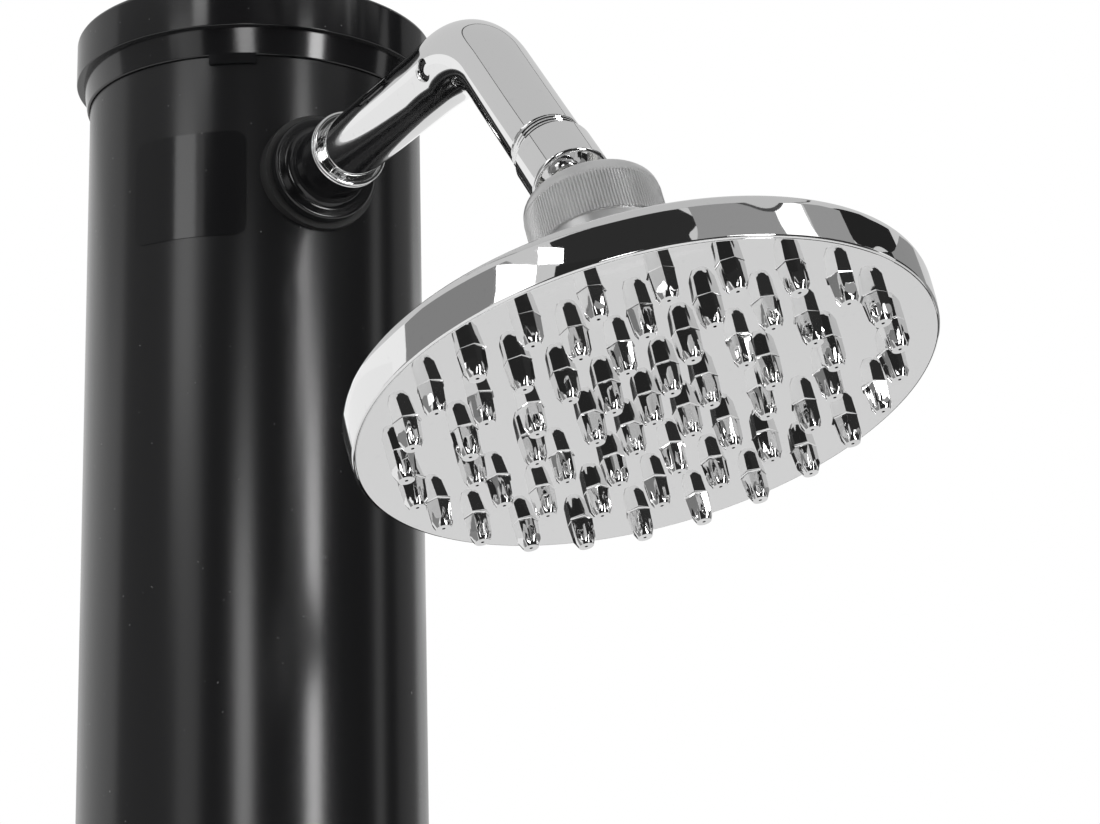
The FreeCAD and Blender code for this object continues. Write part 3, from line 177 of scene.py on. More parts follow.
class Finish:
    """A material: its Principled shader and the nodes that feed it."""

    def __init__(self, name, colour, roughness, **constants):
        self.material = bpy.data.materials.new(name)
        self.material.use_nodes = True
        self.material.diffuse_color = (*colour, 1)
        self.tree = self.material.node_tree
        self.shader = self.tree.nodes["Principled BSDF"]
        self.shader.inputs["Base Color"].default_value = (*colour, 1)
        self.shader.inputs["Roughness"].default_value = roughness
        for name_of, value in constants.items():
            self.shader.inputs[name_of.replace("_", " ")].default_value = value
        self.place = self.node("ShaderNodeTexCoord", {}, {}, "Object")

    def node(self, kind, settings, values, output=0):
        """Add a node: its settings first, then the values or links of its sockets."""
        made = self.tree.nodes.new(kind)
        for key, value in settings.items():
            if key == "stops":
                self.set_stops(made.color_ramp, value)
            else:
                setattr(made, key, value)
        for key, value in values.items():
            self.feed(made.inputs[key], value)
        return Shade(self, made.outputs[output])

    def set_stops(self, ramp, stops):
        """Give a colour ramp its stops, each a position and a grey level."""
        while len(ramp.elements) < len(stops):
            ramp.elements.new(1)
        for element, (position, level) in zip(ramp.elements, stops):
            element.position = position
            element.color = (level, level, level, 1)

    def feed(self, socket, value):
        """Link a node's output to a socket, or set the socket to a constant."""
        if isinstance(value, Shade):
            self.tree.links.new(value.socket, socket)
        else:
            socket.default_value = value

    def wear(self, key, value):
        """Feed one of the shader's own sockets."""
        self.feed(self.shader.inputs[key], value)
        return self

    def noise(self, scale, detail=3.0, stretch=(1, 1, 1)):
        """Noise in the piece's own space."""
        place = self.place
        if stretch != (1, 1, 1):
            place = self.node("ShaderNodeMapping", {}, {"Vector": self.place, "Scale": stretch})
        return self.node("ShaderNodeTexNoise", {}, {"Vector": place, "Scale": scale, "Detail": detail})

    def ramp(self, value, *stops):
        """A value stretched between stops."""
        return self.node("ShaderNodeValToRGB", {"stops": stops}, {0: value})

    def blend(self, factor, first, second):
        """A mix of two colours."""
        return self.node("ShaderNodeMix", {"data_type": "RGBA"},
                         {0: factor, 6: (*first, 1), 7: (*second, 1)}, 2)

    def raised(self, height, strength, distance):
        """Raise the surface by a height; every recipe ends with this."""
        sockets = {"Height": height, "Strength": strength, "Distance": distance}
        bump = self.node("ShaderNodeBump", {}, sockets)
        return self.wear("Normal", bump)


def chrome_plate():
    """Bright plating: a mirror with the faintest polish haze and dried-water marks."""
    clean, dried = (0.80, 0.80, 0.80), (0.72, 0.72, 0.73)
    finish = Finish("chrome_plate", clean, 0.03, Metallic=1.0)
    haze = finish.ramp(finish.noise(35, 4), (0.45, 0), (0.75, 1))
    marks = finish.ramp(finish.noise(420, 2), (0.66, 0), (0.72, 1))
    finish.wear("Roughness", 0.022 + haze * 0.03 + marks * 0.03)
    finish.wear("Base Color", finish.blend(marks * 0.3, clean, dried))
    return finish.raised(finish.noise(160, 2), 0.012, 0.0004)


def satin_chrome():
    """Brushed plating of the knurled collar."""
    finish = Finish("satin_chrome", (0.66, 0.66, 0.66), 0.3, Metallic=1.0)
    grain = finish.noise(900, 3)
    cloud = finish.ramp(finish.noise(120, 4), (0.35, 0), (0.7, 1))
    finish.wear("Roughness", 0.27 + grain * 0.12)
    finish.wear("Base Color", finish.blend(cloud, (0.60, 0.60, 0.60), (0.70, 0.70, 0.70)))
    return finish.raised(grain, 0.06, 0.0002)


def black_paint(name, roughness, peel):
    """Black coating: soft gloss, a slight orange peel, a few dust specks."""
    black, grey = (0.006, 0.006, 0.0065), (0.09, 0.09, 0.09)
    finish = Finish(name, black, roughness)
    cloud = finish.noise(9, 4, (1, 1, 0.25))
    dust = finish.ramp(finish.noise(700, 1), (0.79, 0), (0.82, 1))
    finish.wear("Roughness", (roughness - 0.03) + cloud * 0.06 + dust * 0.3)
    finish.wear("Base Color", finish.blend(dust, black, grey))
    return finish.raised(finish.noise(330, 2), peel, 0.0003)


def moulded(name, colour, paler, roughness, grain):
    """Moulded plastic or rubber: a fine grain with slightly paler clouds."""
    finish = Finish(name, colour, roughness)
    cloud = finish.noise(40, 4)
    finish.wear("Base Color", finish.blend(finish.ramp(cloud, (0.35, 0), (0.75, 1)), colour, paler))
    finish.wear("Roughness", (roughness - 0.06) + cloud * 0.12)
    return finish.raised(finish.noise(1500, 2), grain, 0.0002)


def bare_metal(name, colour, darker, roughness):
    """Plain steel or brass: turned grain and darker handling marks."""
    finish = Finish(name, colour, roughness, Metallic=1.0)
    marks = finish.ramp(finish.noise(55, 5), (0.4, 0), (0.7, 1))
    finish.wear("Base Color", finish.blend(marks, colour, darker))
    finish.wear("Roughness", (roughness - 0.04) + marks * 0.14)
    return finish.raised(finish.noise(1100, 3), 0.05, 0.0002)


FINISHES = {
    "black_gloss": black_paint("black_coating", 0.21, 0.02),
    "black_satin": black_paint("black_satin", 0.33, 0.05),
    "black_cap": black_paint("black_cap_gloss", 0.13, 0.015),
    "chrome": chrome_plate(),
    "satin_chrome": satin_chrome(),
    "steel": bare_metal("stainless_steel", (0.56, 0.56, 0.57), (0.42, 0.42, 0.43), 0.28),
    "brass": bare_metal("yellow_brass", (0.62, 0.46, 0.22), (0.48, 0.34, 0.15), 0.3),
    "dark_steel": bare_metal("blackened_steel", (0.035, 0.035, 0.035), (0.02, 0.02, 0.02), 0.4),
    "rubber": moulded("black_rubber", (0.005, 0.005, 0.005), (0.012, 0.012, 0.012), 0.6, 0.2),
    "white_plastic": moulded("white_acetal", (0.74, 0.74, 0.71), (0.82, 0.82, 0.79), 0.42, 0.08),
    "pipe": moulded("grey_pipe", (0.42, 0.43, 0.45), (0.5, 0.51, 0.53), 0.38, 0.1),
    "label": black_paint("label_film", 0.12, 0.03),
    "index": moulded("index_cap_plastic", (0.45, 0.46, 0.47), (0.52, 0.53, 0.54), 0.35, 0.08),
}


# ---------------------------------------------------------------- making pieces

def creased(bm, crisp=32):
    """Shade a mesh smooth, but keep the edges sharp where its faces meet at more than an angle."""
    for face in bm.faces:
        face.smooth = True
    for edge in bm.edges:
        edge.smooth = edge.calc_face_angle(0) < math.radians(crisp)


def finish_piece(bm, name, place, slot, body, stands_for=(), crisp=32, coat=None):
    """Turn a mesh drawn in millimetres into a finished piece that rides on a body."""
    bmesh.ops.transform(bm, matrix=Matrix.Scale(MM, 4) @ place, verts=bm.verts)
    creased(bm, crisp)
    mesh = bpy.data.meshes.new(name)
    bm.to_mesh(mesh)
    bm.free()
    piece = bpy.data.objects.new(name, mesh)
    bpy.context.collection.objects.link(piece)
    mesh.materials.append(FINISHES[coat or slot].material)
    weigh = piece.modifiers.new("weighted_normals", "WEIGHTED_NORMAL")
    weigh.keep_sharp = True
    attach(piece, body)
    if stands_for:
        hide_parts(*stands_for)
    return piece


def ring_edges(bm, radius, height):
    """The edges of the ring at one radius and height of a turned mesh."""
    def on_ring(vert):
        return abs(vert.co.xy.length - radius) < 1e-3 and abs(vert.co.z - height) < 1e-3
    return [edge for edge in bm.edges if all(on_ring(vert) for vert in edge.verts)]


def spun(section, steps=128):
    """Spin a half section of (radius, height[, rounding]) points about the height axis."""
    bm = bmesh.new()
    verts = [bm.verts.new((point[0], 0, point[1])) for point in section]
    edges = [bm.edges.new(pair) for pair in zip(verts, verts[1:])]
    if section[0][0] > 0:
        edges.append(bm.edges.new((verts[-1], verts[0])))
    bmesh.ops.spin(bm, geom=verts + edges, cent=(0, 0, 0), axis=(0, 0, 1), angle=math.tau,
                   steps=steps, use_merge=True)
    bmesh.ops.remove_doubles(bm, verts=bm.verts, dist=1e-4)
    bmesh.ops.recalc_face_normals(bm, faces=bm.faces)
    for point in section:
        if len(point) == 3:
            bmesh.ops.bevel(bm, geom=ring_edges(bm, point[0], point[1]), offset=point[2],
                            segments=4, profile=0.5, affect="EDGES", material=-1)
    return bm


def turned(name, section, place, slot, body, stands_for=(), steps=128, coat=None):
    """A finished piece spun from its half section."""
    return finish_piece(spun(section, steps), name, place, slot, body, stands_for, coat=coat)


def merged(*parts):
    """Put several meshes, each on its own place, into one."""
    whole = bmesh.new()
    scratch = bpy.data.meshes.new("scratch")
    for part, place in parts:
        bmesh.ops.transform(part, matrix=place, verts=part.verts)
        part.to_mesh(scratch)
        part.free()
        whole.from_mesh(scratch)
    bpy.data.meshes.remove(scratch)
    return whole


def slab(points, thickness, rounding, which=None):
    """A prism of an outline drawn in x and z, thick along y, with its edges rounded."""
    bm = bmesh.new()
    face = bm.faces.new([bm.verts.new((x, -thickness / 2, z)) for x, z in points])
    pulled = bmesh.ops.extrude_face_region(bm, geom=[face])["geom"]
    moved = [item for item in pulled if isinstance(item, bmesh.types.BMVert)]
    bmesh.ops.translate(bm, verts=moved, vec=(0, thickness, 0))
    bmesh.ops.recalc_face_normals(bm, faces=bm.faces)
    edges = [edge for edge in bm.edges if which is None or which(edge)]
    bmesh.ops.bevel(bm, geom=edges, offset=rounding, segments=4, profile=0.5, affect="EDGES",
                    material=-1)
    return bm


def curve(start, end, bulge, count=8):
    """Points of a shallow arc from start to end that swells by bulge to its left."""
    start, end = Vector(start), Vector(end)
    side = Vector((start.y - end.y, end.x - start.x)).normalized()
    points = []
    for step in range(count + 1):
        way = step / count
        points.append(tuple(start.lerp(end, way) + side * bulge * 4 * way * (1 - way)))
    return points


def round_arc(radius, centre_height, first, last, count=16):
    """Points of an arc about a point on the axis, by their angle from the axis in degrees."""
    points = []
    for step in range(count + 1):
        angle = math.radians(first + (last - first) * step / count)
        points.append((radius * math.sin(angle), centre_height + radius * math.cos(angle)))
    return points


def carved(piece, cutter):
    """Cut one piece with another and keep the result as the piece's own mesh."""
    cut = piece.modifiers.new("cut", "BOOLEAN")
    cut.operation = "DIFFERENCE"
    cut.solver = "EXACT"
    cut.use_self = True  # merged parts overlap inside the piece
    cut.object = cutter
    for modifier in piece.modifiers:
        modifier.show_viewport = modifier.name == cut.name
    bpy.context.view_layer.update()
    evaluated = piece.evaluated_get(bpy.context.evaluated_depsgraph_get())
    mesh = bpy.data.meshes.new_from_object(evaluated)
    bm = bmesh.new()
    bm.from_mesh(mesh)
    creased(bm)
    bm.to_mesh(mesh)
    bm.free()
    piece.modifiers.remove(cut)
    for modifier in piece.modifiers:
        modifier.show_viewport = True
    piece.data = mesh
    bpy.data.objects.remove(cutter)
    return piece


# ---------------------------------------------------------------- column

def column():
    """The two lengths of tube, the sleeve's flange between them, and the cap."""
    turned("column_upper", [(COLUMN_BORE, SEAM_HIGH), (COLUMN_RADIUS, SEAM_HIGH, 0.4),
                            (COLUMN_RADIUS, COLUMN_TOP, 0.4), (COLUMN_BORE, COLUMN_TOP)],
           COLUMN_LINE, "black_gloss", "column", ("upper_tube",), 256)
    turned("column_lower", [(COLUMN_BORE, COLUMN_FOOT), (COLUMN_RADIUS, COLUMN_FOOT),
                            (COLUMN_RADIUS, SEAM_LOW, 0.4), (COLUMN_BORE, SEAM_LOW)],
           COLUMN_LINE, "black_gloss", "column", ("lower_tube",), 256)
    outer, inner, brim = 54.9, 49.9, 59.2
    low, high = SEAM_LOW + LOOSE_FIT, SEAM_HIGH - LOOSE_FIT
    turned("joining_sleeve", [(inner, 1115), (outer, 1115), (outer, low), (brim, low, 0.7),
                              (brim, high, 0.7), (outer, high), (outer, 1205), (inner, 1205)],
           COLUMN_LINE, "black_satin", "column", ("joint_sleeve",), 256)
    places = [outward(height, azimuth) @ at(0, 0, 50.5)
              for height in (1135, 1185) for azimuth in (90, 210, 330)]
    screws("joint_locking_screws", places, 2.5, 4.4, 7.6, 2.4, "joint_screws")
    cap()
    foot()


def screws(name, places, shank, head_radius, length, head_height, stands_for):
    """Pan screws, each along its own line from its tip, with a round recess in the head."""
    top, recess = length + head_height, head_radius * 0.35
    bottom = top - head_height * 0.6
    section = [(0, 0), (shank, 0), (shank, length), (head_radius, length, 0.2),
               (head_radius, length + head_height * 0.5, 0.3), (head_radius * 0.75, top, 0.3),
               (recess, top, 0.1), (recess, bottom), (0, bottom)]
    finish_piece(merged(*[(spun(section, 32), place) for place in places]), name, COLUMN_LINE,
                 "steel", "column", (stands_for,))


def rounded_square(half, corner):
    """The outline of a square with round corners, about its middle."""
    points = []
    for quarter in range(4):
        middle = turn("Z", 90 * quarter) @ Vector((half - corner, half - corner, 0))
        for step in range(9):
            edge = turn("Z", 90 * quarter + 90 * step / 8) @ Vector((corner, 0, 0)) + middle
            points.append((edge.x, edge.y))
    return points


def foot():
    """The foot: a square plate with rounded corners, the collar, four ribs and four anchor holes."""
    thickness = 10

    def on_top(edge):
        return all(vert.co.y > thickness / 2 - 0.1 for vert in edge.verts)

    plate = slab(rounded_square(half=100, corner=22), thickness, 1.2, on_top)
    bore = 58.1
    collar_ring = spun([(bore, thickness), (70, thickness), (70, 13, 0.8), (66, 21, 3.0),
                        (66, 62, 1.2), (bore, 62, 0.4)], 192)
    rib = [(64, 9), (92, 9), (92, 11.2), (64, 54)]
    ribs = [(slab(rib, 7, 0.8), turn("Z", 90 * number)) for number in range(4)]
    whole = merged((plate, at(0, 0, thickness / 2) @ turn("X", 90)), (collar_ring, COLUMN_LINE), *ribs)
    piece = finish_piece(whole, "foot_plate", COLUMN_LINE, "black_satin", "column", ("base_plate",))
    spread = 80
    spots = [at(spread * x, spread * y, -1) for x in (-1, 1) for y in (-1, 1)]
    hole = [(0, 0), (4.5, 0), (4.5, 9), (9, 9), (9, 16), (0, 16)]
    drills = merged(*[(spun(hole, 48), spot) for spot in spots])
    carved(piece, finish_piece(drills, "anchor_drills", COLUMN_LINE, "black_satin", "column"))
    screws("foot_screws", [outward(40, azimuth) @ at(0, 0, 52.2) for azimuth in (45, 165, 285)],
           3.0, 5.2, 13.8, 3.4, "base_screws")


def cap():
    """The cap: a thin skirt, the ledge above it, the wall and a shallow dome with its screw hole."""
    lip, ledge, rim, crown, wall = 2120.1, 2129.2, 2145, 2151, 2.5
    pit, screw_hole = 6.5, 3.2
    dome = curve((CAP_RADIUS, rim), (pit, crown - 0.15), -1.3, 12)
    section = [(CAP_BORE, lip, 0.2), (CAP_SKIRT, lip, 0.5), (60.4, ledge), (CAP_RADIUS, ledge, 0.4)]
    section += [(CAP_RADIUS, rim, 1.4)] + dome[1:]
    section += [(pit, crown - wall), (screw_hole, crown - wall), (screw_hole, rim + 2),
                (CAP_BORE, rim - wall)]
    turned("cap", section, COLUMN_LINE, "black_gloss", "column", ("top_cap",), 256, coat="black_cap")
    tab()
    screws("cap_fixing_screw", [at(0, 0, 2128.5)], 2.8, 6.0, 20, 2.4, "cap_screw")


def tab():
    """The locking tab that hangs from the cap's skirt."""
    bm = bmesh.new()
    low, high, half, azimuth = 2117.1, 2121, 7.9 / 58.8, -28.7
    section = ((CAP_BORE, low), (CAP_SKIRT, low), (CAP_SKIRT + 0.1, high), (CAP_BORE, high))
    face = bm.faces.new([bm.verts.new((radius, 0, height)) for radius, height in section])
    bmesh.ops.rotate(bm, verts=bm.verts, matrix=Matrix.Rotation(-half, 3, "Z"))
    bmesh.ops.spin(bm, geom=[face], cent=(0, 0, 0), axis=(0, 0, 1), angle=2 * half, steps=16)
    bmesh.ops.contextual_create(bm, geom=[e for e in bm.edges if e.is_boundary])
    bmesh.ops.recalc_face_normals(bm, faces=bm.faces)
    finish_piece(bm, "cap_locking_tab", turn("Z", azimuth), "black_gloss", "column", coat="black_cap")


# ---------------------------------------------------------------- arm

def flange(start):
    """The start of a wall fitting's section: its spigot in the column and the flange on the wall."""
    return [(0, start), (SPIGOT_RADIUS, start), (SPIGOT_RADIUS, FLANGE_FOOT),
            (FLANGE_RADIUS, FLANGE_FOOT, 0.3), (FLANGE_RADIUS, FLANGE_TOP, 1.0)]


def barb(x, down=False):
    """A pipe spigot inside the column, standing on a fitting's line at a distance out."""
    bore, radius, low, high = 3.4, 4.9, 3, 33
    tube = spun([(bore, low), (radius, low), (radius, high, 0.4), (bore, high)], 48)
    return tube, at(0, 0, x) @ turn("Y", 90 if down else -90)


def arm():
    """The boss on the column, its locking ring, the straight arm and the elbow."""
    seat = 70
    boss = spun(flange(20) + [(13.6, FLANGE_TOP, 1.0), (BOSS_RADIUS, 65.8, 1.0),
                              (BOSS_RADIUS, BOSS_END, 0.25), (SPIGOT_RADIUS, BOSS_END),
                              (SPIGOT_RADIUS, seat), (WATERWAY, seat), (WATERWAY, 23), (0, 23)], 160)
    finish_piece(merged((boss, COLUMN_LINE), barb(28, True)), "boss", ARM_LINE, "black_gloss",
                 "column", ("outlet_boss",), coat="black_cap")
    low, groove, mouth, high = BOSS_END + LOOSE_FIT, 83.1, 11.35, 84.6
    turned("locking_ring", [(SPIGOT_RADIUS, low), (RING_RADIUS, low, 0.25),
                            (RING_RADIUS, 82.75, 0.25), (BOSS_RADIUS, 82.95, 0.1),
                            (BOSS_RADIUS, 83.15, 0.1), (RING_RADIUS, 83.35, 0.25),
                            (RING_RADIUS - 0.1, high, 0.55), (mouth, high, 0.2), (mouth, groove),
                            (SPIGOT_RADIUS, groove)],
           ARM_LINE, "chrome", "column", ("arm_ring",), 160)
    spigot, end = 9.4, 166
    turned("straight_arm", [(WATERWAY, seat), (ARM_RADIUS, seat, 0.3),
                            (ARM_RADIUS, SLEEVE_START - 0.04), (spigot, SLEEVE_START),
                            (spigot, end), (WATERWAY, end)],
           ARM_LINE, "chrome", "column", ("shower_arm",), 160)
    elbow()


def swept(stations, segments):
    """Join rings of given radius, each on its own place, into one skin, the last to the first."""
    bm = bmesh.new()
    first_place, first_radius = stations[0]
    bmesh.ops.create_circle(bm, segments=segments, radius=first_radius, matrix=first_place)
    edges = bm.edges[:]
    for (before, old), (after, new) in zip(stations, stations[1:]):
        pulled = bmesh.ops.extrude_edge_only(bm, edges=edges)["geom"]
        verts = [item for item in pulled if isinstance(item, bmesh.types.BMVert)]
        edges = [item for item in pulled if isinstance(item, bmesh.types.BMEdge)]
        moved = after @ Matrix.Scale(new / old, 4) @ before.inverted()
        bmesh.ops.transform(bm, matrix=moved, verts=verts)
    loops = [edge for edge in bm.edges if edge.is_boundary]
    bmesh.ops.bridge_loops(bm, edges=loops)
    bmesh.ops.recalc_face_normals(bm, faces=bm.faces)
    return bm


def swell(reach):
    """The elbow's radius: it grows smoothly from the arm's, and shrinks again to the neck's."""
    widest, grow_run, shrink_run = 169, 26, 27
    grown = math.sin(math.pi / 2 * min((reach - SLEEVE_START) / grow_run, 1)) ** 2
    shrunk = math.sin(math.pi / 2 * max((reach - widest) / shrink_run, 0)) ** 2
    return ARM_RADIUS + 0.02 + 0.73 * grown - 0.7 * shrunk


def elbow_outside():
    """The rings of the elbow's outer skin: sleeve, bend, neck and thread."""
    reaches = [SLEEVE_START + (BEND_START - SLEEVE_START) * i / 14 for i in range(14)]
    rings = [(on_arm(reach), swell(reach)) for reach in reaches]
    bend_length = BEND_RADIUS * math.radians(NECK_DROP)
    rings += [(on_bend(NECK_DROP * i / 40), swell(BEND_START + bend_length * i / 40)) for i in range(41)]
    rings += [(on_neck(length), NECK_RADIUS) for length in (19.4, 30, 45, THREAD_START - 0.4)]
    rings += [(on_neck(THREAD_START), NECK_RADIUS - 0.25)]
    crest = NECK_RADIUS - 0.1
    for number in range(THREAD_TURNS):
        start = THREAD_START + number * THREAD_PITCH
        rings += [(on_neck(start + rise), crest - depth) for rise, depth in
                  ((0.15, 0.5), (0.35, 0.42), (0.62, 0.06), (0.8, 0.0), (0.98, 0.06), (1.25, 0.42))]
    return rings + [(on_neck(THREAD_END), 9.6)]


def elbow_bore():
    """The rings of the elbow's bore, back from the thread's end to the arm's spigot."""
    rings = [(on_neck(THREAD_END), WATERWAY), (on_neck(30), WATERWAY)]
    rings += [(on_bend(NECK_DROP * i / 12), WATERWAY) for i in range(12, -1, -1)]
    return rings + [(on_arm(SLEEVE_STOP), WATERWAY), (on_arm(SLEEVE_STOP), 9.5)]


def elbow():
    """The elbow: a sleeve over the arm, the bend, the neck and its thread, bored through."""
    skin = swept(elbow_outside() + elbow_bore(), 128)
    piece = finish_piece(skin, "elbow", COLUMN_LINE, "chrome", "column", ("arm_elbow",))
    tilt = math.radians(LOCK_TILT)
    side = Vector((0, -math.cos(tilt), -math.sin(tilt)))
    aim = at(LOCK_REACH, 0, ARM_HEIGHT) @ side.to_track_quat("Z", "X").to_matrix().to_4x4()
    hole, mouth, clear = 3.2, 4.2, 16
    drill = spun([(0, 7), (hole, 7), (hole, 9.95), (hole + 0.25, 10.35), (mouth, 10.9),
                  (mouth, clear), (0, clear)], 64)
    carved(piece, finish_piece(drill, "elbow_drill", aim, "chrome", "column"))
    low, top, radius, recess, bottom = 7.6, 9.5, 3.15, 1.9, 8.4
    turned("locking_grub_screw", [(0, low), (radius, low), (radius, top, 0.3), (recess, top),
                                  (recess, bottom), (0, bottom)],
           aim, "steel", "column", ("elbow_screw",), 48, coat="dark_steel")


def neck():
    """The nut on the neck and the ball's stem."""
    bore, radius, low, high, mouth, seat = 10.3, 11.3, 67.6, 83.1, 5.6, 80.5
    turned("neck_nut", [(bore, low), (radius, low, 0.35), (radius, high, 1.1), (mouth, high, 0.3),
                        (mouth, seat), (bore, seat)],
           NECK_LINE, "chrome", "column", ("swivel_nut",), 160)
    hole, disc, disc_foot, disc_top, stem = 3.0, 9.9, 77.6, 80.4, 5.2
    section = [(hole, disc_foot), (disc, disc_foot), (disc, disc_top), (stem, disc_top),
               (stem, 83.7, 0.4), (4.6, 84.6)]
    section += round_arc(BALL_RADIUS, BALL_REACH, 156, 20, 28) + [(hole, BALL_REACH + 9.5)]
    turned("ball_and_stem", section, NECK_LINE, "chrome", "column", ("ball_stem",), 128)


# ---------------------------------------------------------------- head

def head():
    """The collar, the back of the head and its face."""
    collar()
    plate_bore, room, thread = 75.35, 73.6, 15.5
    shoulder, brow, root = (74.6, 19.2), (70, 20.4), (23, 38)
    back = [(plate_bore, 6.95), (75.9, 7.25, 0.3), (76.2, 10), (76.4, 13.5), (76.5, 16.4, 0.5),
            (76.1, 17.9, 0.5), (*shoulder, 0.8)]
    back += curve(shoulder, brow, 0.1, 3)[1:] + curve(brow, root, -2.6, 16)[1:]
    back += [(17.6, 44, 1.5), (16.9, 49.4), (thread, 49.4), (thread, 62.0)]
    back += round_arc(SEAT_RADIUS, BALL_LIFT, 100, 129, 8)
    back += [(9.4, 55.9), (9.4, 53.6), (WATERWAY, 53.6), (WATERWAY, 44), (14, 38.5), (22, 34.5),
             (69.5, 17.6), (room, 15.2), (room, 9.25), (plate_bore, 9.25)]
    turned("head_back", back, HEAD_LINE, "chrome", "head", ("head_shell",), 256)
    face()


def collar():
    """The collar: a plain skirt, the knurled band and a smooth rounded shoulder."""
    thread, skirt, low, top, middle = 15.56, 17.9, 50, 72, 61
    section = [(thread, low), (skirt, low, 0.3), (skirt, 55.3)]
    section += [(COLLAR_RADIUS, height) for height in (55.5, 58, middle, 64, 66.6)]
    section += [(13.8 + 4.65 * x, 67.2 + 4.8 * y) for x, y in round_arc(1, 0, 90, 0, 10)]
    section += [(10.6, top, 0.4)] + round_arc(SEAT_RADIUS, BALL_LIFT, 57, 99, 8) + [(thread, 62.2)]
    steps = COLLAR_RIBS * 4
    bm = spun(section, steps)
    for vert in bm.verts:
        if abs(vert.co.z - middle) < 5.9 and abs(vert.co.xy.length - COLLAR_RADIUS) < 0.01:
            step = round(math.atan2(vert.co.y, vert.co.x) / math.tau * steps) % 4
            vert.co.xy *= (1.0, 0.995, 0.978, 0.995)[step]
    finish_piece(bm, "knurled_collar", HEAD_LINE, "satin_chrome", "collar", ("head_collar",), crisp=50)


def plate_level(radius):
    """The face plate is slightly domed: its level at a radius."""
    return PLATE_CENTRE - 0.0004 * radius ** 2


def face():
    """The face plate with its 61 nozzles."""
    radii = [PLATE_RADIUS * i / 24 for i in range(24)]
    front = [(radius, plate_level(radius)) for radius in radii]
    front += [(PLATE_RADIUS, plate_level(PLATE_RADIUS), 0.25)]
    lip_outer, lip_inner, lip_top = 73.45, 69.4, 14.6
    behind = [(PLATE_RADIUS, 9.2), (lip_outer, 9.2), (lip_outer, lip_top), (lip_inner, lip_top),
              (lip_inner, 9.6), (0, 11.5)]
    bm = spun(front + behind, 256)
    shape = bpy.data.meshes.new("nozzle_shape")
    pattern = nozzle()
    pattern.to_mesh(shape)
    pattern.free()
    for radius, count in zip(RING_RADII, RING_COUNTS):
        for number in range(count):
            known = set(bm.verts)
            bm.from_mesh(shape)
            place = turn("Z", 360 * number / count) @ at(radius, 0, plate_level(radius)) @ turn("X", 180)
            bmesh.ops.transform(bm, matrix=place, verts=[v for v in bm.verts if v not in known])
    bpy.data.meshes.remove(shape)
    finish_piece(bm, "face_with_nozzles", HEAD_LINE, "chrome", "head", ("face_plate",), crisp=25)


def nozzle():
    """A six-sided nozzle whose end is cut by a cone, with its small jet hole."""
    corner, height, tip, jet, side_steps = 3.95, 7.5, 2.1, 0.45, 4
    bm = bmesh.new()
    bmesh.ops.create_circle(bm, segments=6, radius=corner, matrix=at(0, 0, -0.1) @ turn("Z", 30))
    bmesh.ops.subdivide_edges(bm, edges=bm.edges[:], cuts=side_steps - 1)

    def lift(move):
        edges = [edge for edge in bm.edges if edge.is_boundary or edge.is_wire]
        edges = [edge for edge in edges if all(v in front for v in edge.verts)]
        pulled = bmesh.ops.extrude_edge_only(bm, edges=edges)["geom"]
        made = [item for item in pulled if isinstance(item, bmesh.types.BMVert)]
        for vert in made:
            move(vert)
        return made

    def narrowed(factor, level):
        def move(vert):
            vert.co = (vert.co.x * factor, vert.co.y * factor, level)
        return move

    def to_cone(vert):
        factor = 0.9
        reach = vert.co.xy.length * factor
        vert.co = (vert.co.x * factor, vert.co.y * factor, height - (reach - tip) * 2.0)

    def to_circle(radius, level):
        def move(vert):
            flat = vert.co.xy.normalized() * radius
            vert.co = (flat.x, flat.y, level)
        return move

    front = bm.verts[:]
    for move in (narrowed(0.92, 0.12), narrowed(0.963, 0.45), to_cone, to_circle(tip, height),
                 to_circle(jet, height), to_circle(jet - 0.03, height - 3)):
        front = lift(move)
    bmesh.ops.contextual_create(bm, geom=[e for e in bm.edges if all(v in front for v in e.verts)])
    bmesh.ops.recalc_face_normals(bm, faces=bm.faces)
    return bm


# ---------------------------------------------------------------- mixer, tap, inlet, drain

def mixer():
    """The mixer: the body with its three spigots, the domed cover, and the lever."""
    line = outward(MIXER_HEIGHT)
    shank, brim, barrel, rim, room, floor = 15, 25, 21, 96, 17.5, 74
    body = spun([(0, 2), (shank, 2), (shank, FLANGE_FOOT), (brim, FLANGE_FOOT, 0.4), (brim, 66, 1.8),
                 (22.6, 66, 0.5), (barrel, 68, 1.2), (barrel, rim, 0.8), (room, rim, 0.4),
                 (room, floor), (0, floor)], 192)
    finish_piece(merged((body, COLUMN_LINE), barb(28), barb(11), barb(28, True)), "mixer_valve", line,
                 "chrome", "column", ("mixer_body",))
    bore, thread = 14.1, 17.4
    dome = [(bore, 91.1), (thread, 91.1), (thread, rim + 0.1)]
    dome += round_arc(21, MIXER_BALL, 112.4, 64.6, 20) + round_arc(18.6, MIXER_BALL, 61.1, 102.4, 16)
    turned("mixer_dome", dome + [(bore, 100)], line, "chrome", "column", ("mixer_cover",), 160)
    handle(line)


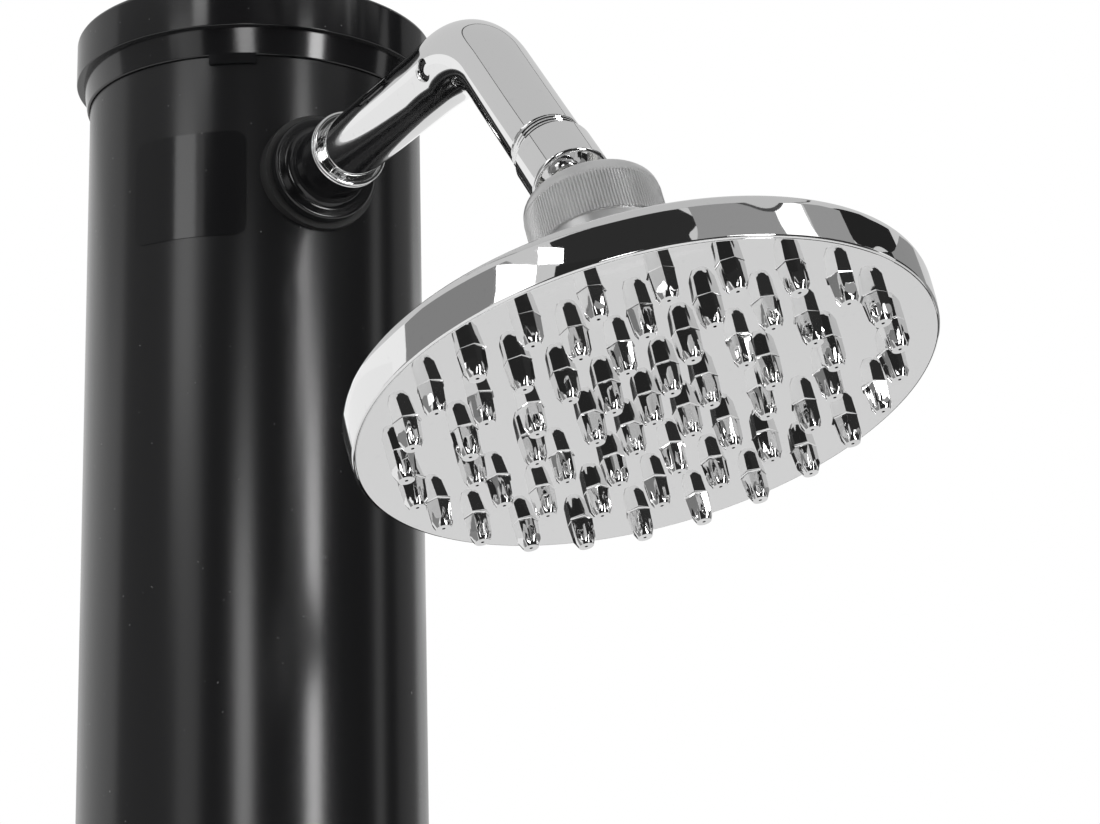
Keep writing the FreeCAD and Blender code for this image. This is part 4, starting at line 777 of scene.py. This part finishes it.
def handle(line):
    """The mixer's lever: skirt, grip and the two cheeks round the pin, with its index cap."""
    skirt = spun(round_arc(24, MIXER_BALL, 0, 79.2, 24) + round_arc(21.4, MIXER_BALL, 80, 0, 24), 160)
    grip = slab([(125.5, 8), (130, 7), (133, 0), (137, -84), (130.5, -86), (124, -14)], 17, 2.6)
    stand = line.inverted() @ at(0, 0, MIXER_HEIGHT)
    cheek = [(99.5, -5), (124.5, -5), (124.5, 5), (99.5, 5)]
    cheeks = [(slab(cheek, 3.3, 0.3), stand @ at(0, y, 0)) for y in (-7, 7)]
    piece = finish_piece(merged((skirt, COLUMN_LINE), (grip, stand), *cheeks), "mixer_handle", line,
                         "chrome", "lever", ("mixer_lever",))
    button_line = outward(MIXER_HEIGHT - 6)
    low, top, radius = 130, 133.4, 5.0
    drill = spun([(0, 0), (radius + 0.1, 0), (radius + 0.1, 8), (0, 8)], 64)
    seat = finish_piece(drill, "cap_seat", button_line @ at(0, 0, low), "chrome", "lever")
    carved(piece, seat)
    turned("index_button", [(0, low), (radius, low), (radius, top, 0.7), (0, top)], button_line,
           "index", "lever", ("index_cap",), 64)


def foot_tap():
    """The low tap: body with its spout, headwork, and handle with a ball end and the seat for its screw.
    """
    line = outward(TAP_HEIGHT)
    barrel, mouth, room, floor = 11, 92, 8.05, 80
    body = spun(flange(34) + [(barrel, FLANGE_TOP, 1.0), (barrel, mouth, 0.5), (room, mouth, 0.2),
                              (room, floor), (0, floor)], 128)
    spout = spun([(0, 0), (7.6, 0), (7.6, 36, 0.8), (5.4, 36, 0.4), (5.4, 14), (0, 14)], 96)
    finish_piece(merged((body, COLUMN_LINE), (spout, at(0, 0, 73) @ turn("Y", 90))), "tap_valve", line,
                 "chrome", "column", ("tap_body",))
    bore, shank, brim, low, high = 4.05, 7.95, 10.4, mouth + LOOSE_FIT, 96
    turned("tap_bonnet", [(bore, 80.2), (shank, 80.2), (shank, low), (brim, low, 0.3),
                          (brim, high, 0.7), (bore, high)],
           line, "chrome", "column", ("tap_headwork",), 96)
    bore, low, top, screw_head, screw_hole, seat = 4.03, 96.6, 111, 3.6, 1.7, 109
    hub = spun([(bore, low), (9.5, low, 0.4), (10.2, 98, 0.6), (9.4, 110, 0.8), (8.4, top, 0.5),
                (screw_head, top, 0.3), (screw_head, seat), (screw_hole, seat), (screw_hole, 106.1),
                (bore, 106.1)], 96)
    grip = spun([(0, 4), (4.6, 4), (4.6, 36.2, 0.6)] + round_arc(5.6, 40, 124.8, 0, 20), 64)
    finish_piece(merged((hub, COLUMN_LINE), (grip, at(0, 0, 103) @ turn("Y", -90))), "tap_grip", line,
                 "chrome", "tap_handle", ("tap_handle",))


def hose_inlet():
    """The hose nipple at the back with its quick-fit nose, and the drain plug below it."""
    barrel, shank, groove, bore = 12, 8.6, 7.0, 5.4
    nipple = spun(flange(20) + [(barrel, FLANGE_TOP, 0.6), (barrel, 76, 0.8), (shank, 76, 0.3),
                                (shank, 90, 0.3), (groove, 91, 0.2), (groove, 94, 0.2),
                                (shank, 95, 0.3), (shank, 98, 0.4), (6.6, 104, 0.4), (bore, 104, 0.2),
                                (bore, 79), (0, 79)], 128)
    finish_piece(merged((nipple, COLUMN_LINE), barb(28)), "hose_nipple", outward(INLET_HEIGHT, 180),
                 "black_satin", "column", ("hose_connector",))
    shank, brim, top, recess, bottom = 6.2, 10.5, 65, 4.2, 62.5
    turned("drain_stopper", [(0, 46), (shank, 46), (shank, FLANGE_FOOT), (brim, FLANGE_FOOT, 0.3),
                             (brim, 63.5, 0.5), (9.5, top, 0.5), (recess, top, 0.2),
                             (recess, bottom), (0, bottom)],
           outward(DRAIN_HEIGHT, 180), "black_satin", "column", ("drain_plug",), 96)


# ---------------------------------------------------------------- pieces kept from the CAD

def coat_cad_pieces():
    """Give every CAD piece the finish of its slot."""
    for subpart in frame["record"]["subparts"]:
        piece = bpy.data.objects.get(subpart["node"])
        if piece is None:
            continue
        for place in piece.material_slots:
            place.material = FINISHES[subpart["material_slot"]].material


# ---------------------------------------------------------------- stage

def plain(name, level, is_light=True):
    """A flat grey for what stands round the object: it shines or it is painted."""
    material = bpy.data.materials.new(name)
    material.use_nodes = True
    tree = material.node_tree
    tree.nodes.remove(tree.nodes["Principled BSDF"])
    if is_light:
        shader = tree.nodes.new("ShaderNodeEmission")
        shader.inputs["Color"].default_value = (1, 1, 1, 1)
        shader.inputs["Strength"].default_value = level
    else:
        shader = tree.nodes.new("ShaderNodeBsdfDiffuse")
        shader.inputs["Color"].default_value = (level, level, level, 1)
    tree.links.new(shader.outputs[0], tree.nodes["Material Output"].inputs["Surface"])
    return material


def card(name, azimuth, width, low, high, level, reach=2.6, centre=(0.2, 0, 1.97), sway=0.0):
    """A studio card seen only in reflections: it faces a centre from an azimuth, in degrees.

    Cloth cards hang a little askew: their edges sway by a share of their size.
    """
    bm = bmesh.new()
    bmesh.ops.create_grid(bm, x_segments=16, y_segments=16, size=0.5)
    for vert in bm.verts:
        x, y = vert.co.xy
        vert.co.x += sway * math.sin(7 * y + azimuth)
        vert.co.y += sway * math.sin(6 * x + 2 * azimuth)
    wide = 2 * reach * math.tan(math.radians(width / 2))
    bottom, top = reach * math.tan(math.radians(low)), reach * math.tan(math.radians(high))
    stand = at(*centre) @ turn("Z", azimuth) @ at(reach, 0, (bottom + top) / 2)
    size = Matrix.Diagonal((wide, top - bottom, 1, 1))
    bmesh.ops.transform(bm, verts=bm.verts, matrix=stand @ turn("Y", -90) @ turn("Z", 90) @ size)
    hang(bm, name, level)


def hang(bm, name, level):
    """Put up a card that only mirrors see."""
    mesh = bpy.data.meshes.new(name)
    bm.to_mesh(mesh)
    bm.free()
    piece = bpy.data.objects.new(name, mesh)
    bpy.context.collection.objects.link(piece)
    mesh.materials.append(plain(name, level))
    piece.visible_camera = False
    piece.visible_diffuse = False
    piece.visible_shadow = False


def ceiling(name, level, low_x, high_x, low_y, high_y, height, rounding=0.5):
    """A panel overhead with rounded corners, seen only in reflections."""
    bm = bmesh.new()
    bmesh.ops.create_grid(bm, x_segments=1, y_segments=1, size=0.5)
    middle = at((low_x + high_x) / 2, (low_y + high_y) / 2, height)
    size = Matrix.Diagonal((high_x - low_x, high_y - low_y, 1, 1))
    bmesh.ops.transform(bm, verts=bm.verts, matrix=middle @ turn("X", 180) @ size)
    bmesh.ops.bevel(bm, geom=bm.verts[:], offset=rounding, segments=8, profile=0.5, affect="VERTICES",
                    material=-1)
    hang(bm, name, level)


def room_cards():
    """Dark openings, grey screens and a lamp round the set, in a low row and a high one."""
    split, top = 28, 52
    for name, azimuth, width, low, level in (
            ("dark_low", -32, 54, -34, 0.025), ("left_grey", -99, 47, -30, 0.26),
            ("dark_low_right", 10, 36, -30, 0.035), ("dark_low_far", 46, 44, -30, 0.035),
            ("right_grey", 98, 40, -20, 0.3)):
        card(name, azimuth, width, low, split, level)
    card("back_light", -156, 50, -40, 9, 0.95)
    card("back_light_far", 160, 60, -40, 9, 0.8)
    for name, azimuth, width, high, level, sway in (
            ("dark_high", -33, 54, 44, 0.03, 0.05), ("grey_high", 13, 38, top, 0.33, 0.04),
            ("right_high", 58, 20, top, 0.35, 0.06), ("right_dark", 81, 30, 44, 0.02, 0.09),
            ("right_lamp", 41, 15, top, 1.6, 0.07)):
        card(name, azimuth, width, split, high, level, sway=sway)


def column_cards():
    """The tall narrow lamps that draw the light streaks on the black column."""
    column, reach = (0, 0, 1.97), 2.4
    for name, azimuth, width, low, high, level in (
            ("left_lamp_foot", -70, 15, 10, 14.5, 1.2), ("left_lamp", -69, 15, 14.5, 25, 2.8),
            ("left_lamp_top", -56.5, 9, 25, 29, 4.6),
            ("strip_right", 17.5, 9, -4, 15, 13.0), ("strip_right_mid", 11, 9, 15, 20, 7.5),
            ("strip_right_top", 10, 9, 20, 25, 5.3),
            ("strip_left", -27, 10, -4, 9, 5.5), ("strip_left_mid", -29, 11, 9, 11, 8.0),
            ("strip_left_top", -26.5, 9, 11, 18, 1.2)):
        card(name, azimuth, width, low, high, level, reach, column)
    card("right_dark_low", 79, 14, -10, 28, 0.02, reach + 0.1, column)


def roof():
    """The grey panel overhead, its dark edge and the paler roof above it."""
    rise, edge = 2.2, 0.05
    low_x, high_x, low_y, high_y = -0.55 * rise, 1.1 * rise, -0.78 * rise, 0.69 * rise
    ceiling("roof_panel", 0.6, low_x, high_x, low_y, high_y, 2.0 + rise)
    ceiling("roof_frame", 0.08, low_x - edge, high_x + edge, low_y - edge, high_y + edge, 2.002 + rise)
    far = 3.2 * rise
    ceiling("roof", 0.66, -far, far, -far, far, 2.6 + rise)


def stage():
    """The floor, the world and the soft lamps."""
    bm = bmesh.new()
    bmesh.ops.create_grid(bm, x_segments=1, y_segments=1, size=14)
    mesh = bpy.data.meshes.new("floor")
    bm.to_mesh(mesh)
    bm.free()
    floor = bpy.data.objects.new("floor", mesh)
    bpy.context.collection.objects.link(floor)
    mesh.materials.append(plain("pale_floor", 0.8, is_light=False))
    room_cards()
    column_cards()
    roof()
    world()
    lamp("overhead", (0.5, -1.0, 4.6), (0, 0, 1.6), 3.0, 40)
    lamp("left_soft", (-0.6, -3.4, 2.4), (0, 0, 1.7), 2.2, 34)
    lamp("right_soft", (3.2, 1.6, 2.6), (0, 0, 1.7), 2.2, 26)


def world():
    """White where it is seen directly or mirrored, softer as light."""
    made = bpy.data.worlds.new("studio")
    bpy.context.scene.world = made
    made.use_nodes = True
    tree = made.node_tree
    back = tree.nodes["Background"]
    back.inputs["Color"].default_value = (1, 1, 1, 1)
    path = tree.nodes.new("ShaderNodeLightPath")
    seen = path.outputs["Is Camera Ray"]
    for name in ("Is Glossy Ray", "Is Transmission Ray"):
        both = tree.nodes.new("ShaderNodeMath")
        both.operation = "MAXIMUM"
        tree.links.new(seen, both.inputs[0])
        tree.links.new(path.outputs[name], both.inputs[1])
        seen = both.outputs[0]
    level = tree.nodes.new("ShaderNodeMapRange")
    level.inputs["To Min"].default_value = 0.8
    level.inputs["To Max"].default_value = 1.0
    tree.links.new(seen, level.inputs["Value"])
    tree.links.new(level.outputs[0], back.inputs["Strength"])


def lamp(name, place, aim, size, power):
    """A soft round lamp that mirrors don't show."""
    data = bpy.data.lights.new(name, "AREA")
    data.shape = "DISK"
    data.size = size
    data.energy = power
    made = bpy.data.objects.new(name, data)
    bpy.context.collection.objects.link(made)
    made.location = place
    made.rotation_euler = (Vector(place) - Vector(aim)).to_track_quat("Z", "Y").to_euler()
    made.visible_glossy = False


def camera():
    """The photograph's camera, below the head and to its right, looking up at it."""
    place = (0.800447, -0.307604, 1.79013)
    back = Vector((0.85635, -0.45212, -0.24951)).normalized()
    rough_up = Vector((0.23283, -0.09323, 0.96804))
    right = rough_up.cross(back).normalized()
    axes = Matrix((right, back.cross(right), back)).transposed().to_4x4()
    data = bpy.data.cameras.new("photo_camera")
    data.lens = 83.515
    data.sensor_width = 36
    made = bpy.data.objects.new("photo_camera", data)
    bpy.context.collection.objects.link(made)
    made.matrix_world = Matrix.Translation(place) @ axes
    bpy.context.scene.camera = made


column()
arm()
neck()
head()
mixer()
foot_tap()
hose_inlet()
coat_cad_pieces()
stage()
camera()
bpy.context.scene.view_settings.view_transform = "Standard"
